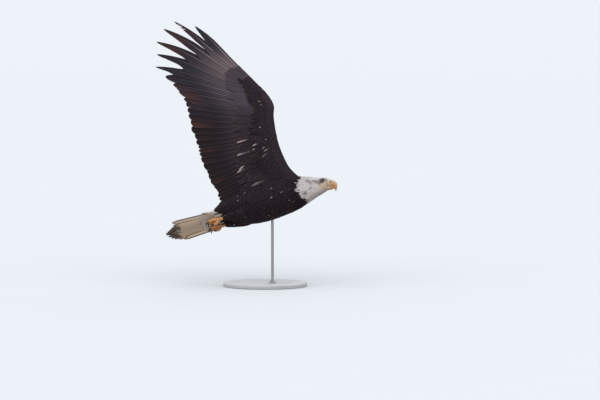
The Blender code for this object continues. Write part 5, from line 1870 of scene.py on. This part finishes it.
class EAGLE_OT_wings(bpy.types.Operator):
    """Flight feathers, alulas and the coverts of both faces of both wings."""

    bl_idname = "eagle.wings"
    bl_label = "Wings"

    def execute(self, context):
        coverts = made_once("wing_coverts", covert_material)
        flight = made_once("flight_vanes", flight_material)
        for label, side in SIDES:
            for place, face in (("over", 1), ("under", -1)):
                make_object(f"coverts_{place}_{label}", wing_coat(side, face), coverts, "brown_plumage")
            primaries = [f"primary_{10 - j}_{label}" for j in range(FINGERS)] + [f"primaries_inner_{label}"]
            make_object(f"primaries_{label}", flight_set(side, 0, PRIMARIES), flight, "flight_feathers",
                        sharp=40.0, replaces=primaries)
            inner = [f"{part}_{label}" for part in ("secondaries_outer", "secondaries_inner", "tertials")]
            make_object(f"secondaries_{label}", flight_set(side, PRIMARIES, PRIMARIES + SECONDARIES), flight,
                        "flight_feathers", sharp=40.0, replaces=inner)
            make_object(f"alula_feathers_{label}", alula_set(side), flight, "brown_plumage", sharp=40.0,
                        replaces=[f"alula_{label}"])
        return {"FINISHED"}


class EAGLE_OT_tail(bpy.types.Operator):
    """The twelve tail feathers."""

    bl_idname = "eagle.tail"
    bl_label = "Tail"

    def execute(self, context):
        make_object("tail_fan", tail_set(), made_once("tail_vanes", tail_material), "tail_feathers",
                    sharp=40.0, replaces=[f"tail_feathers_{label}" for label, _ in SIDES])
        return {"FINISHED"}


class EAGLE_OT_legs(bpy.types.Operator):
    """Shanks, feet and claws."""

    bl_idname = "eagle.legs"
    bl_label = "Legs"

    def execute(self, context):
        _, hues = settings()
        for label, side in SIDES:
            # painted shade: the left foot, the one farther from the light, takes a ruddier, darker colour as
            # a shaded copy of the right foot's yellow
            shade = hues.foot_orange * 1.15 if side > 0 else hues.foot
            forms, toes = leg_parts(side)
            make_object(f"scaled_foot_{label}", united(f"foot_{label}", forms),
                        made_once(f"leg_skin_{label}", foot_material, shade), "foot_skin",
                        replaces=[f"shank_{label}", f"foot_{label}"])
            for toe, route in toes.items():
                horn = made_once("talon_horn", claw_material)
                make_object(f"talon_{toe}_{label}", claw_set(toe, route), horn, "claw_horn",
                            replaces=[f"claw_{toe}_{label}"])
        return {"FINISHED"}


class EAGLE_OT_stand(bpy.types.Operator):
    """Finishes for the stand's base, rod and collar."""

    bl_idname = "eagle.stand"
    bl_label = "Stand"

    def execute(self, context):
        for node in ("stand_base", "stand_rod", "stand_collar"):
            make = lacquer_material if node == "stand_base" else steel_material
            material = made_once("satin_lacquer" if node == "stand_base" else "drawn_steel", make)
            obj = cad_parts[node]
            if not obj.material_slots:
                obj.data.materials.append(material)
            for slot in obj.material_slots:
                slot.material = material
        return {"FINISHED"}


OPERATORS = (EAGLE_OT_stage, EAGLE_OT_skin, EAGLE_OT_head, EAGLE_OT_body_coat, EAGLE_OT_wings, EAGLE_OT_tail,
             EAGLE_OT_legs, EAGLE_OT_stand)


class EAGLE_PT_panel(bpy.types.Panel):
    """Lists the eagle's settings and the buttons that make its pieces."""

    bl_label = "Bald eagle"
    bl_idname = "EAGLE_PT_panel"
    bl_space_type = "VIEW_3D"
    bl_region_type = "UI"
    bl_category = "Eagle"

    def draw(self, context):
        column = self.layout.column()
        for group in settings():
            for key in group.__annotations__:
                column.prop(group, key)
        for operator in OPERATORS:
            column.operator(operator.bl_idname)


CLASSES = (EagleColours, EagleSizes, *OPERATORS, EAGLE_PT_panel)


def register():
    """Make the settings, operators and panel known to Blender."""
    for one in CLASSES:
        bpy.utils.register_class(one)
    bpy.types.Scene.eagle_colours = bpy.props.PointerProperty(type=EagleColours)
    bpy.types.Scene.eagle_sizes = bpy.props.PointerProperty(type=EagleSizes)


def unregister():
    """Take them away again."""
    del bpy.types.Scene.eagle_sizes
    del bpy.types.Scene.eagle_colours
    for one in reversed(CLASSES):
        bpy.utils.unregister_class(one)


def main():
    """Build the whole scene."""
    register()
    bpy.ops.eagle.stage()
    bpy.ops.eagle.skin()
    bpy.ops.eagle.head()
    bpy.ops.eagle.body_coat()
    bpy.ops.eagle.wings()
    bpy.ops.eagle.tail()
    bpy.ops.eagle.legs()
    bpy.ops.eagle.stand()


if __name__ == "__main__":
    main()
